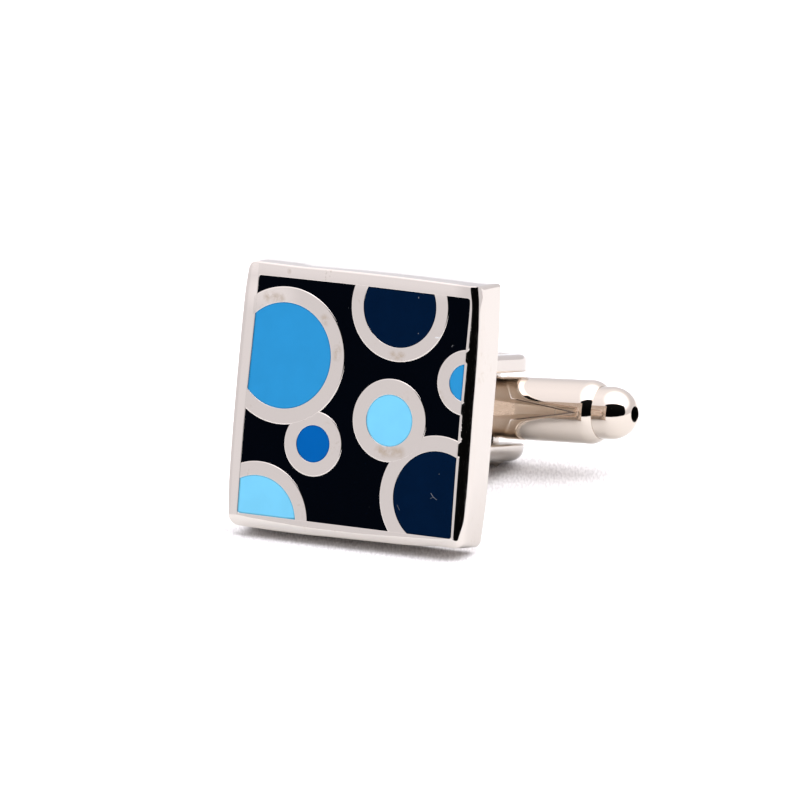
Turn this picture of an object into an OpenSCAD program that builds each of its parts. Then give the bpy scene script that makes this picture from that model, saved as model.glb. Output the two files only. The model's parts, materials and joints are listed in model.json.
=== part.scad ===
// Square enamelled cufflink with a bullet-shaped swivel toggle, in millimetres.
// It rests as it lies on a table: on the bottom edge of the face and on the pin's lower head.
// Front looks along -Y, the post runs to the back along +Y, the toggle lies along X, closed.

/* [Face plate] */
// Width and height of the square face, corner to corner
face_w = 16; // [13:0.25:20]
// Thickness of the face plate
face_t = 2.6; // [1.8:0.1:4]
// How far the middle of each side bows out past its corners
side_bow = 0.1; // [0:0.02:0.3]
// Radius of the four corners of the face
corner_r = 0.4; // [0.2:0.05:0.8]
// Radius of the rolled rim round the front
rim_roll = 0.4; // [0.2:0.05:0.5]
// Metal border between the cells and the corners' square
border_w = 0.75; // [0.6:0.05:1.5]

/* [Enamel] */
// Width of the cell area that the circles below are drawn for; they follow the real one
pattern_w = 14.5; // [12:0.5:18]
// Depth of the enamel cells
cell_depth = 0.6; // [0.3:0.05:1.2]
// Side gap between enamel and cell wall
enamel_gap = 0.005; // [0:0.005:0.02]
// How far the polished enamel lies under the cell walls
enamel_low = 0.01; // [0:0.01:0.05]
// Width of the metal ring round the three large circles
ring_w_large = 0.98; // [0.6:0.02:1.2]
// Width of the metal ring round the four small circles
ring_w_small = 0.88; // [0.5:0.02:1.1]
// Large blue circle: centre to the right and up from the middle, radius
blue_large = [-4.98, 2.51, 3.2]; // [-8:0.01:8]
// Upper navy circle: centre to the right and up from the middle, radius
navy_upper = [2.63, 6.26, 2.46]; // [-8:0.01:8]
// Small blue circle: centre to the right and up from the middle, radius
blue_small = [7.54, 2.18, 1.13]; // [-8:0.01:8]
// Sky circle near the middle: centre to the right and up from the middle, radius
sky_center = [2.55, -0.62, 1.56]; // [-8:0.01:8]
// Royal blue circle: centre to the right and up from the middle, radius
royal_low = [-2.5, -2.57, 1.12]; // [-8:0.01:8]
// Sky circle in the corner: centre to the right and up from the middle, radius
sky_corner = [-6.02, -7.6, 2.74]; // [-8:0.01:8]
// Navy circle in the corner: centre to the right and up from the middle, radius
navy_corner = [6.1, -4.96, 2.85]; // [-8:0.01:8]

/* [Post] */
// Distance from the back of the face to the pivot pin
post_reach = 14.9; // [14:0.1:19]
// Width of the post across the toggle
post_w = 4.1; // [3.5:0.1:5]
// Thickness of each ear of the fork
ear_t = 1.075; // [0.8:0.025:1.4]
// Room between the toggle and each ear
ear_room = 0.225; // [0.15:0.025:0.5]
// Radius of the post's long edges
post_edge_r = 0.5; // [0.2:0.05:0.8]
// Room between the folded-in toggle and the slot's floor
slot_room = 0.5; // [0.3:0.1:1.5]
// How far the post sits below the middle of the face
post_drop = 0.45; // [0:0.05:1]
// Turn of the whole closure about the post, as it was soldered
closure_turn = 3.5; // [0:0.5:6]
// How far the foot that is soldered to the face stands out past the post's corners
foot_rim = 0.35; // [0.2:0.05:1]
// Thickness of the foot
foot_t = 0.7; // [0.4:0.1:1.2]
// Width and height of the solder fillet round the foot
fillet_r = 0.35; // [0.2:0.05:0.6]

/* [Pivot pin] */
// Diameter of the pivot pin
pin_d = 1.3; // [1:0.05:1.5]
// Radial seat clearance of the pin in the ears
pin_seat = 0.005; // [0:0.005:0.01]
// Radial running clearance of the toggle on the pin
pin_run = 0.03; // [0.02:0.01:0.05]
// How far the pin's riveted heads spread past the pin
head_rim = 0.5; // [0.3:0.05:0.7]
// Height of the pin's riveted heads
head_h = 0.4; // [0.3:0.05:0.6]

/* [Toggle] */
// Distance from the pivot to the toggle's tip
toggle_reach = 9.85; // [9:0.05:10.5]
// Diameter of the toggle's core
core_d = 3.4; // [3.1:0.05:3.5]
// Depth of the two flats at the waist
flat_cut = 0.25; // [0.1:0.05:0.4]
// How far the flats run in under the sleeves
flat_run = 0.7; // [0.3:0.1:1.2]
// Distance from the pivot to the core's ends
core_reach = 5.5; // [5:0.1:6]
// Distance from the pivot to the sleeves' prong ends
mouth_x = 1.6; // [1.3:0.05:2]
// Wall of a sleeve at its mouth
mouth_wall = 0.15; // [0.1:0.01:0.2]
// Wall of a sleeve at its shoulder
shoulder_wall = 0.25; // [0.2:0.01:0.35]
// Length of the domed end that stands out of the sleeve
dome_out = 2.25; // [1.8:0.05:2.6]
// Radius of the sleeve's rounded shoulder
shoulder_r = 0.3; // [0.15:0.05:0.34]
// Length of the lip that holds the end cap
lip_l = 0.4; // [0.3:0.05:0.6]
// Radial clearance of the parts pressed into a sleeve
press_gap = 0.005; // [0:0.005:0.01]
// Plain tube between the point of the sleeve's notch and its outer end
notch_stop = 1; // [0.6:0.1:2]
// Half width of the notch's straight taper at the mouth
notch_half = 0.85; // [0.6:0.05:1]
// How far each prong end rounds off to the side
prong_round = 1.05; // [0.9:0.05:1.2]
// Step from the core's diameter down to the dome's, on each side
dome_step = 0.1; // [0.05:0.01:0.2]
// Diameter of the hole in each tip
tip_hole_d = 0.96; // [0.6:0.02:1.2]
// Depth of the hole in each tip
tip_hole_l = 1.2; // [0.6:0.1:1.6]

/* [Friction spring] */
// Diameter of the bore that holds plunger and spring
drag_bore_d = 1.5; // [1.4:0.05:1.7]
// Radial clearance of the plunger in its bore
plunger_gap = 0.03; // [0.02:0.01:0.05]
// Room between the plunger's nose and the pin
nose_gap = 0.02; // [0.01:0.01:0.04]
// Length of the plunger's wide head
plunger_head_l = 1.25; // [0.8:0.05:1.5]
// Room between the plunger's tail and the coil round it
tail_room = 0.2; // [0.1:0.05:0.3]
// Length of the plunger's tail
plunger_tail_l = 1.1; // [0.6:0.1:1.6]
// Diameter of the spring wire
wire_d = 0.22; // [0.18:0.02:0.26]
// Turns of the spring
coil_turns = 4.5; // [3:0.5:5]
// Room at each end of the spring
coil_room = 0.04; // [0.02:0.01:0.06]

/* [Hidden] */
$fn = 96;

// Overshoot of cuts past the faces they open
over = 0.5;
// Thickness of the slices that shape the rolled rim
slice_t = 0.001;
// Share of each side that is flat in its middle, so that the face can stand on it
flat_share = 0.2;

face_half = face_w / 2;
cell_half = face_half - border_w;
side_reach = face_half + side_bow;
pivot_y = face_t + post_reach;
slot_floor_y = pivot_y - toggle_reach - slot_room;

// Sleeves, caps and core share the toggle's axis, and each takes its diameter from the core
mouth_d = core_d + 2 * mouth_wall;
shoulder_d = core_d + 2 * shoulder_wall;
dome_d = core_d - 2 * dome_step;
sleeve_end_x = toggle_reach - dome_out;
notch_tip_x = sleeve_end_x - notch_stop;
waist_reach = mouth_x + flat_run;

// The fork's slot clears the toggle, and its foot clears the post's corners
slot_h = shoulder_d + 2 * ear_room;
post_h = slot_h + 2 * ear_t;
ear_r = post_w / 2;
foot_r = norm([post_w / 2 - post_edge_r, post_h / 2 - post_edge_r]) + post_edge_r + foot_rim;

// Plunger and coil in the core's bore
nose_x = pin_d / 2 + nose_gap;
head_end_x = nose_x + plunger_head_l;
coil_r = drag_bore_d / 2 - plunger_gap - wire_d / 2;
tail_r = coil_r - wire_d / 2 - tail_room;

// A riveted head is the cap of a sphere, standing on an ear
head_sphere_r = (pow(pin_d / 2 + head_rim, 2) + pow(head_h, 2)) / (2 * head_h);
head_center_z = post_h / 2 + head_h - head_sphere_r;

// Lean at rest: the face's back bottom edge and the lower head's sphere both touch the table
head_drop = post_drop + head_center_z * cos(closure_turn);
rest_up = side_reach - head_drop;
lean = acos(head_sphere_r / norm([rest_up, post_reach])) - atan2(post_reach, rest_up);
rest_z = face_t * sin(lean) + side_reach * cos(lean);
front_y = (rim_roll - side_reach) * sin(lean) + rim_roll * cos(lean) - rim_roll;
ear_top_z = post_h / 2 * cos(closure_turn) - post_drop;
back_y = (pivot_y + ear_r) * cos(lean) + ear_top_z * sin(lean);
rest_y = -(front_y + back_y) / 2;

// Circles of the pattern as [x, z, enamel radius, ring radius], fitted to the cell area
function ring(circle, w) = concat(circle, circle[2] + w) * 2 * cell_half / pattern_w;
ring_blue_large = ring(blue_large, ring_w_large);
ring_navy_upper = ring(navy_upper, ring_w_small);
ring_blue_small = ring(blue_small, ring_w_small);
ring_sky_center = ring(sky_center, ring_w_large);
ring_royal = ring(royal_low, ring_w_small);
ring_sky_corner = ring(sky_corner, ring_w_small);
ring_navy_corner = ring(navy_corner, ring_w_large);
RINGS = [
    ring_blue_large, ring_navy_upper, ring_blue_small, ring_sky_center,
    ring_royal, ring_sky_corner, ring_navy_corner
];

// How far a side bows out at share s of the way from its middle to a corner
function bow(s) = side_bow * (1 - s * s) / (1 - flat_share * flat_share);

// Square outline with rounded corners and sides that bow out in five flat lengths
function bowed_square(h) = [
    for (k = [0:3]) each concat(
        [for (a = [0:15:75]) turned(k, [h - corner_r + corner_r * cos(a), h - corner_r + corner_r * sin(a)])],
        [for (s = [1:-2 * flat_share:-0.99]) turned(k, [s * (h - corner_r), h + bow(s)])]
    )
];
function turned(k, p) = [p[0] * cos(90 * k) - p[1] * sin(90 * k), p[0] * sin(90 * k) + p[1] * cos(90 * k)];

// Half width of the sleeve's notch at share t of the way from the mouth to the notch's point
function notch_w(t) = notch_half * (1 - t) + prong_round * max(0, 1 - pow(t / 0.25, 2));

// Puts a piece from the upright frame of the face into the resting attitude
module at_rest() {
    translate([0, rest_y, rest_z]) rotate([-lean, 0, 0]) children();
}

// Puts a piece of the closure, drawn round the pivot, on the face's frame
module at_pivot() {
    at_rest() translate([0, pivot_y, -post_drop]) rotate([0, -closure_turn, 0]) children();
}

// Extrudes an outline seen from the front, from depth y to depth y + t
module seen_from_front(y, t) {
    translate([0, y + t, 0]) rotate([90, 0, 0]) linear_extrude(height = t) children();
}

// Turns a profile of [distance along X, radius] round the toggle's axis
module turned_along_x(points) {
    rotate([0, 90, 0]) rotate_extrude() polygon([for (p = points) [p[1], p[0]]]);
}

module disc(c, r) {
    translate([c[0], c[1]]) circle(r = r);
}

module cell_square(gap) {
    square(2 * (cell_half - gap), center = true);
}

// Outline of a coloured cell
module circle_cell(c, gap = 0) {
    intersection() {
        cell_square(gap);
        disc(c, c[2] - gap);
    }
}

// Outline of the ground cell: all that the rings leave free
module ground_cell(gap = 0) {
    difference() {
        cell_square(gap);
        for (c = RINGS) disc(c, c[3] + gap);
    }
}

// The plate's rolled front, one convex body of slices
module rolled_front() {
    hull() for (a = [0:15:90])
        seen_from_front(min(rim_roll * (1 - cos(a)), rim_roll - slice_t), slice_t)
            polygon(bowed_square(face_half - rim_roll * (1 - sin(a))));
}

module face_plate() {
    color("gainsboro") at_rest() difference() {
        union() {
            rolled_front();
            seen_from_front(rim_roll, face_t - rim_roll) polygon(bowed_square(face_half));
        }
        seen_from_front(-over, over + cell_depth) ground_cell();
        for (c = RINGS) seen_from_front(-over, over + cell_depth) circle_cell(c);
    }
}

module enamel_fill() {
    at_rest() seen_from_front(enamel_low, cell_depth - enamel_low) children();
}

module enamel_black() {
    color("black") enamel_fill() ground_cell(enamel_gap);
}

module enamel_circle(c, tint) {
    color(tint) enamel_fill() circle_cell(c, enamel_gap);
}

// Section of the post: a rectangle with rounded edges
module post_section() {
    w = post_w / 2 - post_edge_r;
    h = post_h / 2 - post_edge_r;
    square([post_w, 2 * h], center = true);
    square([2 * w, post_h], center = true);
    for (x = [-w, w], z = [-h, h]) translate([x, z]) circle(r = post_edge_r);
}

// Post with its foot: a solid shank, then two ears with round ends about the pin
module post() {
    color("silver") at_pivot() difference() {
        union() {
            translate([0, -post_reach + foot_t, 0]) rotate([90, 0, 0]) cylinder(r = foot_r, h = foot_t);
            intersection() {
                seen_from_front(-post_reach, post_reach + ear_r) post_section();
                union() {
                    cylinder(r = ear_r, h = post_h, center = true);
                    translate([-post_w / 2, -post_reach, -post_h / 2]) cube([post_w, post_reach, post_h]);
                }
            }
        }
        translate([-post_w, slot_floor_y - pivot_y, -slot_h / 2])
            cube([2 * post_w, pivot_y - slot_floor_y + post_w, slot_h]);
        cylinder(d = pin_d + 2 * pin_seat, h = post_h + 2 * over, center = true);
    }
}

// Concave ring of solder in the corner between foot and face
module solder_fillet() {
    color("lightgray") at_pivot() translate([0, -post_reach, 0]) rotate([-90, 0, 0]) rotate_extrude()
        polygon(concat(
            [[foot_r, 0]],
            [for (a = [0:15:90]) [foot_r + fillet_r * (1 - sin(a)), fillet_r * (1 - cos(a))]]
        ));
}

module pin_head() {
    translate([0, 0, post_h / 2]) intersection() {
        translate([0, 0, head_h - head_sphere_r]) sphere(r = head_sphere_r);
        cylinder(r = 2 * head_sphere_r, h = 2 * head_h);
    }
}

module pivot_pin() {
    color("silver") at_pivot() union() {
        cylinder(d = pin_d, h = post_h, center = true);
        pin_head();
        mirror([0, 0, 1]) pin_head();
    }
}

// Core: a round bar with two flats at the waist, the pin's bore and the plunger's bore
module toggle_core() {
    color("silver") at_pivot() difference() {
        turned_along_x([[-core_reach, 0], [core_reach, 0], [core_reach, core_d / 2], [-core_reach, core_d / 2]]);
        for (side = [0, 1]) mirror([0, side, 0]) translate([-waist_reach, core_d / 2 - flat_cut, -core_d])
            cube([2 * waist_reach, core_d, 2 * core_d]);
        cylinder(d = pin_d + 2 * pin_run, h = core_d + 2 * over, center = true);
        rotate([0, 90, 0]) cylinder(d = drag_bore_d, h = core_reach + over);
    }
}

// Sleeve of the right half: a slightly flared tube with a rounded shoulder and a retaining lip
module sleeve_tube() {
    bore_r = core_d / 2 + press_gap;
    lip_r = dome_d / 2 + press_gap;
    round_r = min(shoulder_r, shoulder_d / 2 - lip_r);
    arc_x = sleeve_end_x - round_r;
    arc_y = shoulder_d / 2 - round_r;
    turned_along_x(concat(
        [[mouth_x, bore_r], [mouth_x, mouth_d / 2]],
        [for (a = [90:-15:0]) [arc_x + round_r * cos(a), arc_y + round_r * sin(a)]],
        [[sleeve_end_x, lip_r], [sleeve_end_x - lip_l, lip_r], [sleeve_end_x - lip_l, bore_r]]
    ));
}

// Fish-mouth notch: its two curved edges run together to a point
module notch_outline() {
    span = notch_tip_x - mouth_x;
    shares = [0:0.05:1];
    polygon(concat(
        [[mouth_x - over, -notch_w(0)]],
        [for (t = shares) [mouth_x + span * t, -notch_w(t)]],
        [for (t = [0.95:-0.05:-0.001]) [mouth_x + span * t, notch_w(t)]],
        [[mouth_x - over, notch_w(0)]]
    ));
}

module sleeve() {
    difference() {
        sleeve_tube();
        seen_from_front(-shoulder_d, 2 * shoulder_d) notch_outline();
    }
}

module sleeve_right() {
    color("gainsboro") at_pivot() sleeve();
}

module sleeve_left() {
    color("gainsboro") at_pivot() mirror([1, 0, 0]) sleeve();
}

// End cap: a shoulder held by the sleeve's lip, a dome and the hole in its tip
module cap() {
    shoulder_x = sleeve_end_x - lip_l;
    dome_r = dome_d / 2;
    dome_x = toggle_reach - dome_r;
    difference() {
        turned_along_x(concat(
            [[core_reach, 0], [core_reach, core_d / 2], [shoulder_x, core_d / 2], [shoulder_x, dome_r]],
            [for (a = [90:-5:0]) [dome_x + dome_r * cos(a), dome_r * sin(a)]]
        ));
        translate([toggle_reach - tip_hole_l, 0, 0]) rotate([0, 90, 0])
            cylinder(d = tip_hole_d, h = tip_hole_l + over);
    }
}

module cap_right() {
    color("silver") at_pivot() cap();
}

module cap_left() {
    color("silver") at_pivot() mirror([1, 0, 0]) cap();
}

// Plunger that the spring holds against the pin, so that the toggle stays where it is put
module friction_plunger() {
    head_r = drag_bore_d / 2 - plunger_gap;
    color("goldenrod") at_pivot() turned_along_x([
        [nose_x, 0], [nose_x, head_r], [head_end_x, head_r], [head_end_x, tail_r],
        [head_end_x + plunger_tail_l, tail_r], [head_end_x + plunger_tail_l, 0]
    ]);
}

// Wire coil between the plunger's head and the end cap, one unbroken tube
module plunger_spring() {
    sides = 6;
    steps = 12;
    wire_r = wire_d / 2;
    start_x = head_end_x + coil_room + wire_r;
    rise = core_reach - coil_room - wire_r - start_x;
    last = floor(coil_turns * steps);
    echo(coil_gap = rise / coil_turns - wire_d);
    points = [for (i = [0:last], j = [0:sides - 1]) let (
        a = 360 * coil_turns * i / last,
        b = 360 * j / sides,
        r = coil_r + wire_r * cos(b)
    ) [start_x + rise * i / last + wire_r * sin(b), r * cos(a), r * sin(a)]];
    sides_of_tube = [for (i = [0:last - 1], j = [0:sides - 1]) let (
        k = i * sides,
        m = (j + 1) % sides
    ) each [[k + j, k + m, k + sides + m], [k + j, k + sides + m, k + sides + j]]];
    start_cap = [for (j = [1:sides - 2]) [0, j + 1, j]];
    end_cap = [for (j = [1:sides - 2]) [last * sides, last * sides + j, last * sides + j + 1]];
    color("darkgray") at_pivot() polyhedron(points, concat(sides_of_tube, start_cap, end_cap));
}

face_plate();
enamel_black();
enamel_circle(ring_blue_large, "dodgerblue");  // enamel_blue_large
enamel_circle(ring_navy_upper, "midnightblue");  // enamel_navy_upper
enamel_circle(ring_blue_small, "dodgerblue");  // enamel_blue_small
enamel_circle(ring_sky_center, "lightskyblue");  // enamel_sky_center
enamel_circle(ring_royal, "royalblue");  // enamel_royal
enamel_circle(ring_sky_corner, "lightskyblue");  // enamel_sky_corner
enamel_circle(ring_navy_corner, "midnightblue");  // enamel_navy_corner
post();
solder_fillet();
pivot_pin();
toggle_core();
sleeve_left();
sleeve_right();
cap_left();
cap_right();
friction_plunger();
plunger_spring();
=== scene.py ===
"""Looks of a square enamelled cufflink with a swivel toggle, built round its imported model.

Sizes are in millimetres and become metres where a piece is set in its place.
Drawing frame of the face: X to the right seen from the front, Y to the back, Z up, front at y = 0.
Drawing frame of the closure: origin in the pivot, X along the toggle, Y to the back, Z along the pin.
"""

from __future__ import annotations

import json
import logging
import math
from collections.abc import Callable
from dataclasses import dataclass
from enum import Enum
from functools import reduce

import bpy
import numpy as np
from mathutils import Matrix, Vector
from mathutils.geometry import delaunay_2d_cdt


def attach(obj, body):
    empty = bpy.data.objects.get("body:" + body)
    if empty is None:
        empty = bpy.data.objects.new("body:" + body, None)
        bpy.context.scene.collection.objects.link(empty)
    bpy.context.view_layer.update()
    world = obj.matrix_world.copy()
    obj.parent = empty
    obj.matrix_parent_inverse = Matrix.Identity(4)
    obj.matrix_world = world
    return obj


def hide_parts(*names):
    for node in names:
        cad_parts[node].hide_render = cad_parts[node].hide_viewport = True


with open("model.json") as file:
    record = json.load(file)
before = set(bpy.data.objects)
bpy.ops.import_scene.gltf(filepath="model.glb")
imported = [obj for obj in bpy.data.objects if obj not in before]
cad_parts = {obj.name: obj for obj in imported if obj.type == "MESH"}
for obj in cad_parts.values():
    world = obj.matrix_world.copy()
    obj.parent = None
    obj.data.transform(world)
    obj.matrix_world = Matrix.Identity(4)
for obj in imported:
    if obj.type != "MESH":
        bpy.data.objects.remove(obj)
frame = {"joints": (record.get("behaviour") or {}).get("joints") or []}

log = logging.getLogger("cufflink")
Array = np.ndarray
Knots = tuple[tuple[float, float], ...]
Triple = tuple[float, float, float]
Rgba = tuple[float, float, float, float]
Socket, Tree = bpy.types.NodeSocket, bpy.types.NodeTree
# Distance of the points beside an arc that keep the flats flat, in millimetres.
HOLD = 0.02
# Edges that turn by more than this stay sharp.
SHARP = math.radians(32)
# Sides of the face in order, and for each the coordinate of (x, z) that grows outwards, and its sign.
TOP, LEFT, BOTTOM, RIGHT = range(4)
SIDE_AXES, SIDE_SIGNS = (1, 0, 1, 0), (1, -1, -1, 1)


class Body(Enum):
    """The two bodies of the frame, by name."""

    FACE = "face_and_post"
    TOGGLE = "toggle"


class Axis(Enum):
    """Axis that a piece is turned round, or mirrored along."""

    X = 0
    Y = 1
    Z = 2


class Side(Enum):
    """Halves of the toggle."""

    RIGHT = "right"
    LEFT = "left"


@dataclass(frozen=True)
class Seat:
    """Place of a drawing frame on the table.

    A point p in millimetres goes to (turn p + shift) / 1000 in metres, where turn is a rotation
    about X by -lean after one about Y by -twist.
    """

    lean: float
    twist: float
    shift: Array

    @property
    def turn(self) -> Array:
        """Rotation matrix from the drawing frame to the table.

        Returns:
            The matrix, shaped (3, 3).
        """
        cl, sl = math.cos(self.lean), math.sin(self.lean)
        ct, st = math.cos(self.twist), math.sin(self.twist)
        about_x = np.array([[1, 0, 0], [0, cl, sl], [0, -sl, cl]])
        about_y = np.array([[ct, 0, -st], [0, 1, 0], [st, 0, ct]])
        return about_x @ about_y

    def place(self, points: Array) -> Array:
        """Points of the drawing frame, in metres on the table."""
        return (points @ self.turn.T + self.shift) / 1000

    def direction(self, vector: Triple) -> Array:
        """Unit vector on the table along a vector of the drawing frame."""
        return unit(self.turn @ np.array(vector, float))

    def unplace(self) -> dict[str, Vector]:
        """Inputs of a Mapping node that leads from the table back to the drawing frame.

        Returns:
            Values by the input's name.
        """
        return {
            "Location": Vector(-self.turn.T @ self.shift),
            "Rotation": Vector((self.lean, self.twist, 0)),
            "Scale": Vector((1000, 1000, 1000)),
        }


@dataclass(frozen=True)
class Stance:
    """Seats of the face and of the closure, read off the frame's hinge.

    The hinge axis is the closure's Z, and its position is the pivot, so both seats follow from it.
    """

    pivot_y: float = 17.5
    post_drop: float = 0.45

    def seats(self, joint: dict) -> tuple[Seat, Seat]:
        """Both seats.

        Args:
            joint: the frame's hinge, with pos_m and axis.

        Returns:
            The seat of the face and the seat of the closure.
        """
        axis = unit(np.array(joint["axis"], float))
        pivot = np.array(joint["pos_m"], float) * 1000
        lean, twist = math.atan2(axis[1], axis[2]), math.asin(-axis[0])
        bare = Seat(lean, 0.0, np.zeros(3))
        shift = pivot - bare.turn @ np.array([0, self.pivot_y, -self.post_drop])
        return Seat(lean, 0.0, shift), Seat(lean, twist, pivot)


def unit(vector: Array) -> Array:
    """The vector at length 1."""
    return vector / np.linalg.norm(vector)


def full_turn(count: int) -> Array:
    """Evenly spaced angles all the way round, without the last, which is the first."""
    return np.linspace(0, 2 * np.pi, count, endpoint=False)


def spots(x: object, y: object, z: object) -> Array:
    """Points from coordinates, each an array or a number, spread to one shape."""
    return np.stack(np.broadcast_arrays(x, y, z), axis=-1)


def layers(rows: list[tuple[Array, object]]) -> Array:
    """Grid with a row for each outline (x, z) and its depth y."""
    return np.stack([spots(outline[:, 0], y, outline[:, 1]) for outline, y in rows])


def capped(grid: Array) -> Array:
    """The grid with a row more at each end, gathered in the middle of the end row, which closes it."""
    first, last = (grid[k] * 0 + grid[k].mean(0) for k in (0, -1))
    return np.concatenate([first[None], grid, last[None]])


@dataclass
class Skin:
    """Closed surface: points in millimetres, and faces of four and of three corners."""

    points: Array
    quads: Array
    tris: Array

    @classmethod
    def from_grid(cls, grid: Array, wrap_u: bool = False, wrap_v: bool = False) -> Skin:
        """Skin over a grid of points. Points in one place become one, which closes poles and seams.

        Args:
            grid: points P(u, v), shaped (u, v, 3).
            wrap_u: joins the last row to the first.
            wrap_v: joins the last column to the first.

        Returns:
            The skin, with its faces outwards.
        """
        flat = grid.reshape(-1, 3)
        _, first, ids = np.unique(
            np.round(flat, 6) + 0.0, axis=0, return_index=True, return_inverse=True
        )
        ids = ids.reshape(grid.shape[:2])
        if wrap_u:
            ids = np.vstack([ids, ids[:1]])
        if wrap_v:
            ids = np.hstack([ids, ids[:, :1]])
        corners = np.stack([ids[:-1, :-1], ids[1:, :-1], ids[1:, 1:], ids[:-1, 1:]], axis=-1)
        corners = corners.reshape(-1, 4)
        same = corners == np.roll(corners, -1, axis=1)
        whole, pinched = same.sum(1) == 0, same.sum(1) == 1
        tris = corners[pinched][~same[pinched]].reshape(-1, 3)
        return cls(flat[first], corners[whole], tris).outward()

    def outward(self) -> Skin:
        """The same skin, turned over where its volume, the sum of a · (b × c) / 6, is negative.

        Returns:
            This skin, or one with its faces turned over.
        """
        tris = np.vstack([self.quads[:, [0, 1, 2]], self.quads[:, [0, 2, 3]], self.tris])
        a, b, c = (self.points[tris[:, k]] for k in range(3))
        if np.einsum("ij,ij->", a, np.cross(b, c)) < 0:
            return Skin(self.points, self.quads[:, ::-1], self.tris[:, ::-1])
        return self

    def __add__(self, other: Skin) -> Skin:
        """Both skins in one.

        Args:
            other: the other skin.

        Returns:
            A skin of all their points and faces.
        """
        step = len(self.points)
        return Skin(
            np.vstack([self.points, other.points]),
            np.vstack([self.quads, other.quads + step]),
            np.vstack([self.tris, other.tris + step]),
        )

    def centres(self) -> Array:
        """Middles of the faces, in the mesh's order."""
        return np.vstack([self.points[self.quads].mean(1), self.points[self.tris].mean(1)])

    def mirrored(self, axis: Axis) -> Skin:
        """The skin with one coordinate turned to its negative."""
        signs = np.where(np.arange(3) == axis.value, -1, 1)
        return Skin(self.points * signs, self.quads[:, ::-1], self.tris[:, ::-1])

    def mesh(self, name: str, seat: Seat) -> bpy.types.Mesh:
        """Mesh on the table, smooth but for sharp edges.

        Args:
            name: the mesh's name.
            seat: the place of the drawing frame.

        Returns:
            The mesh, in metres.
        """
        corners = np.concatenate([self.quads.ravel(), self.tris.ravel()])
        sizes = np.repeat([4, 3], [len(self.quads), len(self.tris)])
        mesh = bpy.data.meshes.new(name)
        mesh.vertices.add(len(self.points))
        mesh.vertices.foreach_set("co", seat.place(self.points).astype(np.float32).ravel())
        mesh.loops.add(len(corners))
        mesh.loops.foreach_set("vertex_index", corners.astype(np.int32))
        mesh.polygons.add(len(sizes))
        starts = np.concatenate([[0], np.cumsum(sizes)[:-1]])
        mesh.polygons.foreach_set("loop_start", starts.astype(np.int32))
        mesh.update(calc_edges=True)
        mesh.validate()
        mesh.polygons.foreach_set("use_smooth", np.ones(len(sizes), bool))
        mesh.set_sharp_from_angle(angle=SHARP)
        return mesh


def rounded_path(
    corners: list[tuple[float, float]], radii: list[float], closed: bool = False, steps: int = 6
) -> Array:
    """Path through corners, each turned by an arc that touches both sides.

    With a and b the directions from a corner to its neighbours and h half the angle between them,
    the arc of radius r has its centre at r / sin h along a + b and starts at r / tan h.

    Args:
        corners: the path's corners.
        radii: a radius for each corner; 0 keeps it sharp.
        closed: joins the last corner to the first.
        steps: faces of an arc.

    Returns:
        Points shaped (n, 2), with one more beside each end of an arc.
    """
    points = np.array(corners, float)
    path = []
    for i, (here, radius) in enumerate(zip(points, radii)):
        at_end = not closed and i in (0, len(points) - 1)
        if at_end or radius == 0:
            path.append(here[None])
            continue
        a = unit(points[i - 1] - here)
        b = unit(points[(i + 1) % len(points)] - here)
        half = math.acos(np.clip(a @ b, -1, 1)) / 2
        run = radius / math.tan(half)
        centre = here + unit(a + b) * radius / math.sin(half)
        start, stop = here + a * run - centre, here + b * run - centre
        first = math.atan2(start[1], start[0])
        sweep = (math.atan2(stop[1], stop[0]) - first + math.pi) % (2 * math.pi) - math.pi
        angles = first + sweep * np.linspace(0, 1, steps + 1)
        arc = centre + radius * np.stack([np.cos(angles), np.sin(angles)], axis=1)
        path += [(here + a * (run + HOLD))[None], arc, (here + b * (run + HOLD))[None]]
    return np.vstack(path)


def turned(profile: Array, axis: Axis, steps: int = 128) -> Skin:
    """Turned piece: P(i, a) has profile[i] = (along, radius), with the radius at angle a round the axis.

    Args:
        profile: points (along, radius) from pole to pole, shaped (n, 2).
        axis: the axis of turning.
        steps: faces round the axis.

    Returns:
        The closed skin.
    """
    angle = full_turn(steps)
    grid = spots(profile[:, :1], profile[:, 1:] * np.cos(angle), profile[:, 1:] * np.sin(angle))
    return Skin.from_grid(np.roll(grid, axis.value, axis=-1), wrap_v=True)


def soft_noise(count: int, waves: int, seed: int, wrap: bool = True) -> Array:
    """Smooth random curve between about -1 and 1: a sum of sines with random heights and phases.

    Args:
        count: samples of the curve.
        waves: the most waves over its length.
        seed: seed of the random numbers.
        wrap: ends where it starts.

    Returns:
        The curve's samples.
    """
    rng = np.random.default_rng(seed)
    number = np.arange(1, waves + 1)[:, None]
    t = np.linspace(0, 2 * np.pi, count, endpoint=not wrap)
    height, phase = rng.normal(size=(waves, 1)), rng.uniform(0, 2 * np.pi, (waves, 1))
    curve = (height * np.sin(number * t + phase)).sum(0)
    return curve / np.abs(curve).max()


def eased(knots: Knots, place: Array, soft: float = 0.35) -> Array:
    """Value of knots (place, value) joined by lines, then softened with a bell of the given width.

    Args:
        knots: the knots, by rising place.
        place: where the value is wanted.
        soft: width of the bell, in millimetres.

    Returns:
        The values.
    """
    line = np.linspace(-10, 10, 1001)
    known = np.array(knots)
    raw = np.interp(line, known[:, 0], known[:, 1])
    bell = np.exp(-((np.linspace(-3, 3, int(300 * soft) | 1)) ** 2) / 2)
    padded = np.pad(raw, len(bell) // 2, mode="edge")
    return np.interp(place, line, np.convolve(padded, bell / bell.sum(), mode="valid"))


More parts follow.
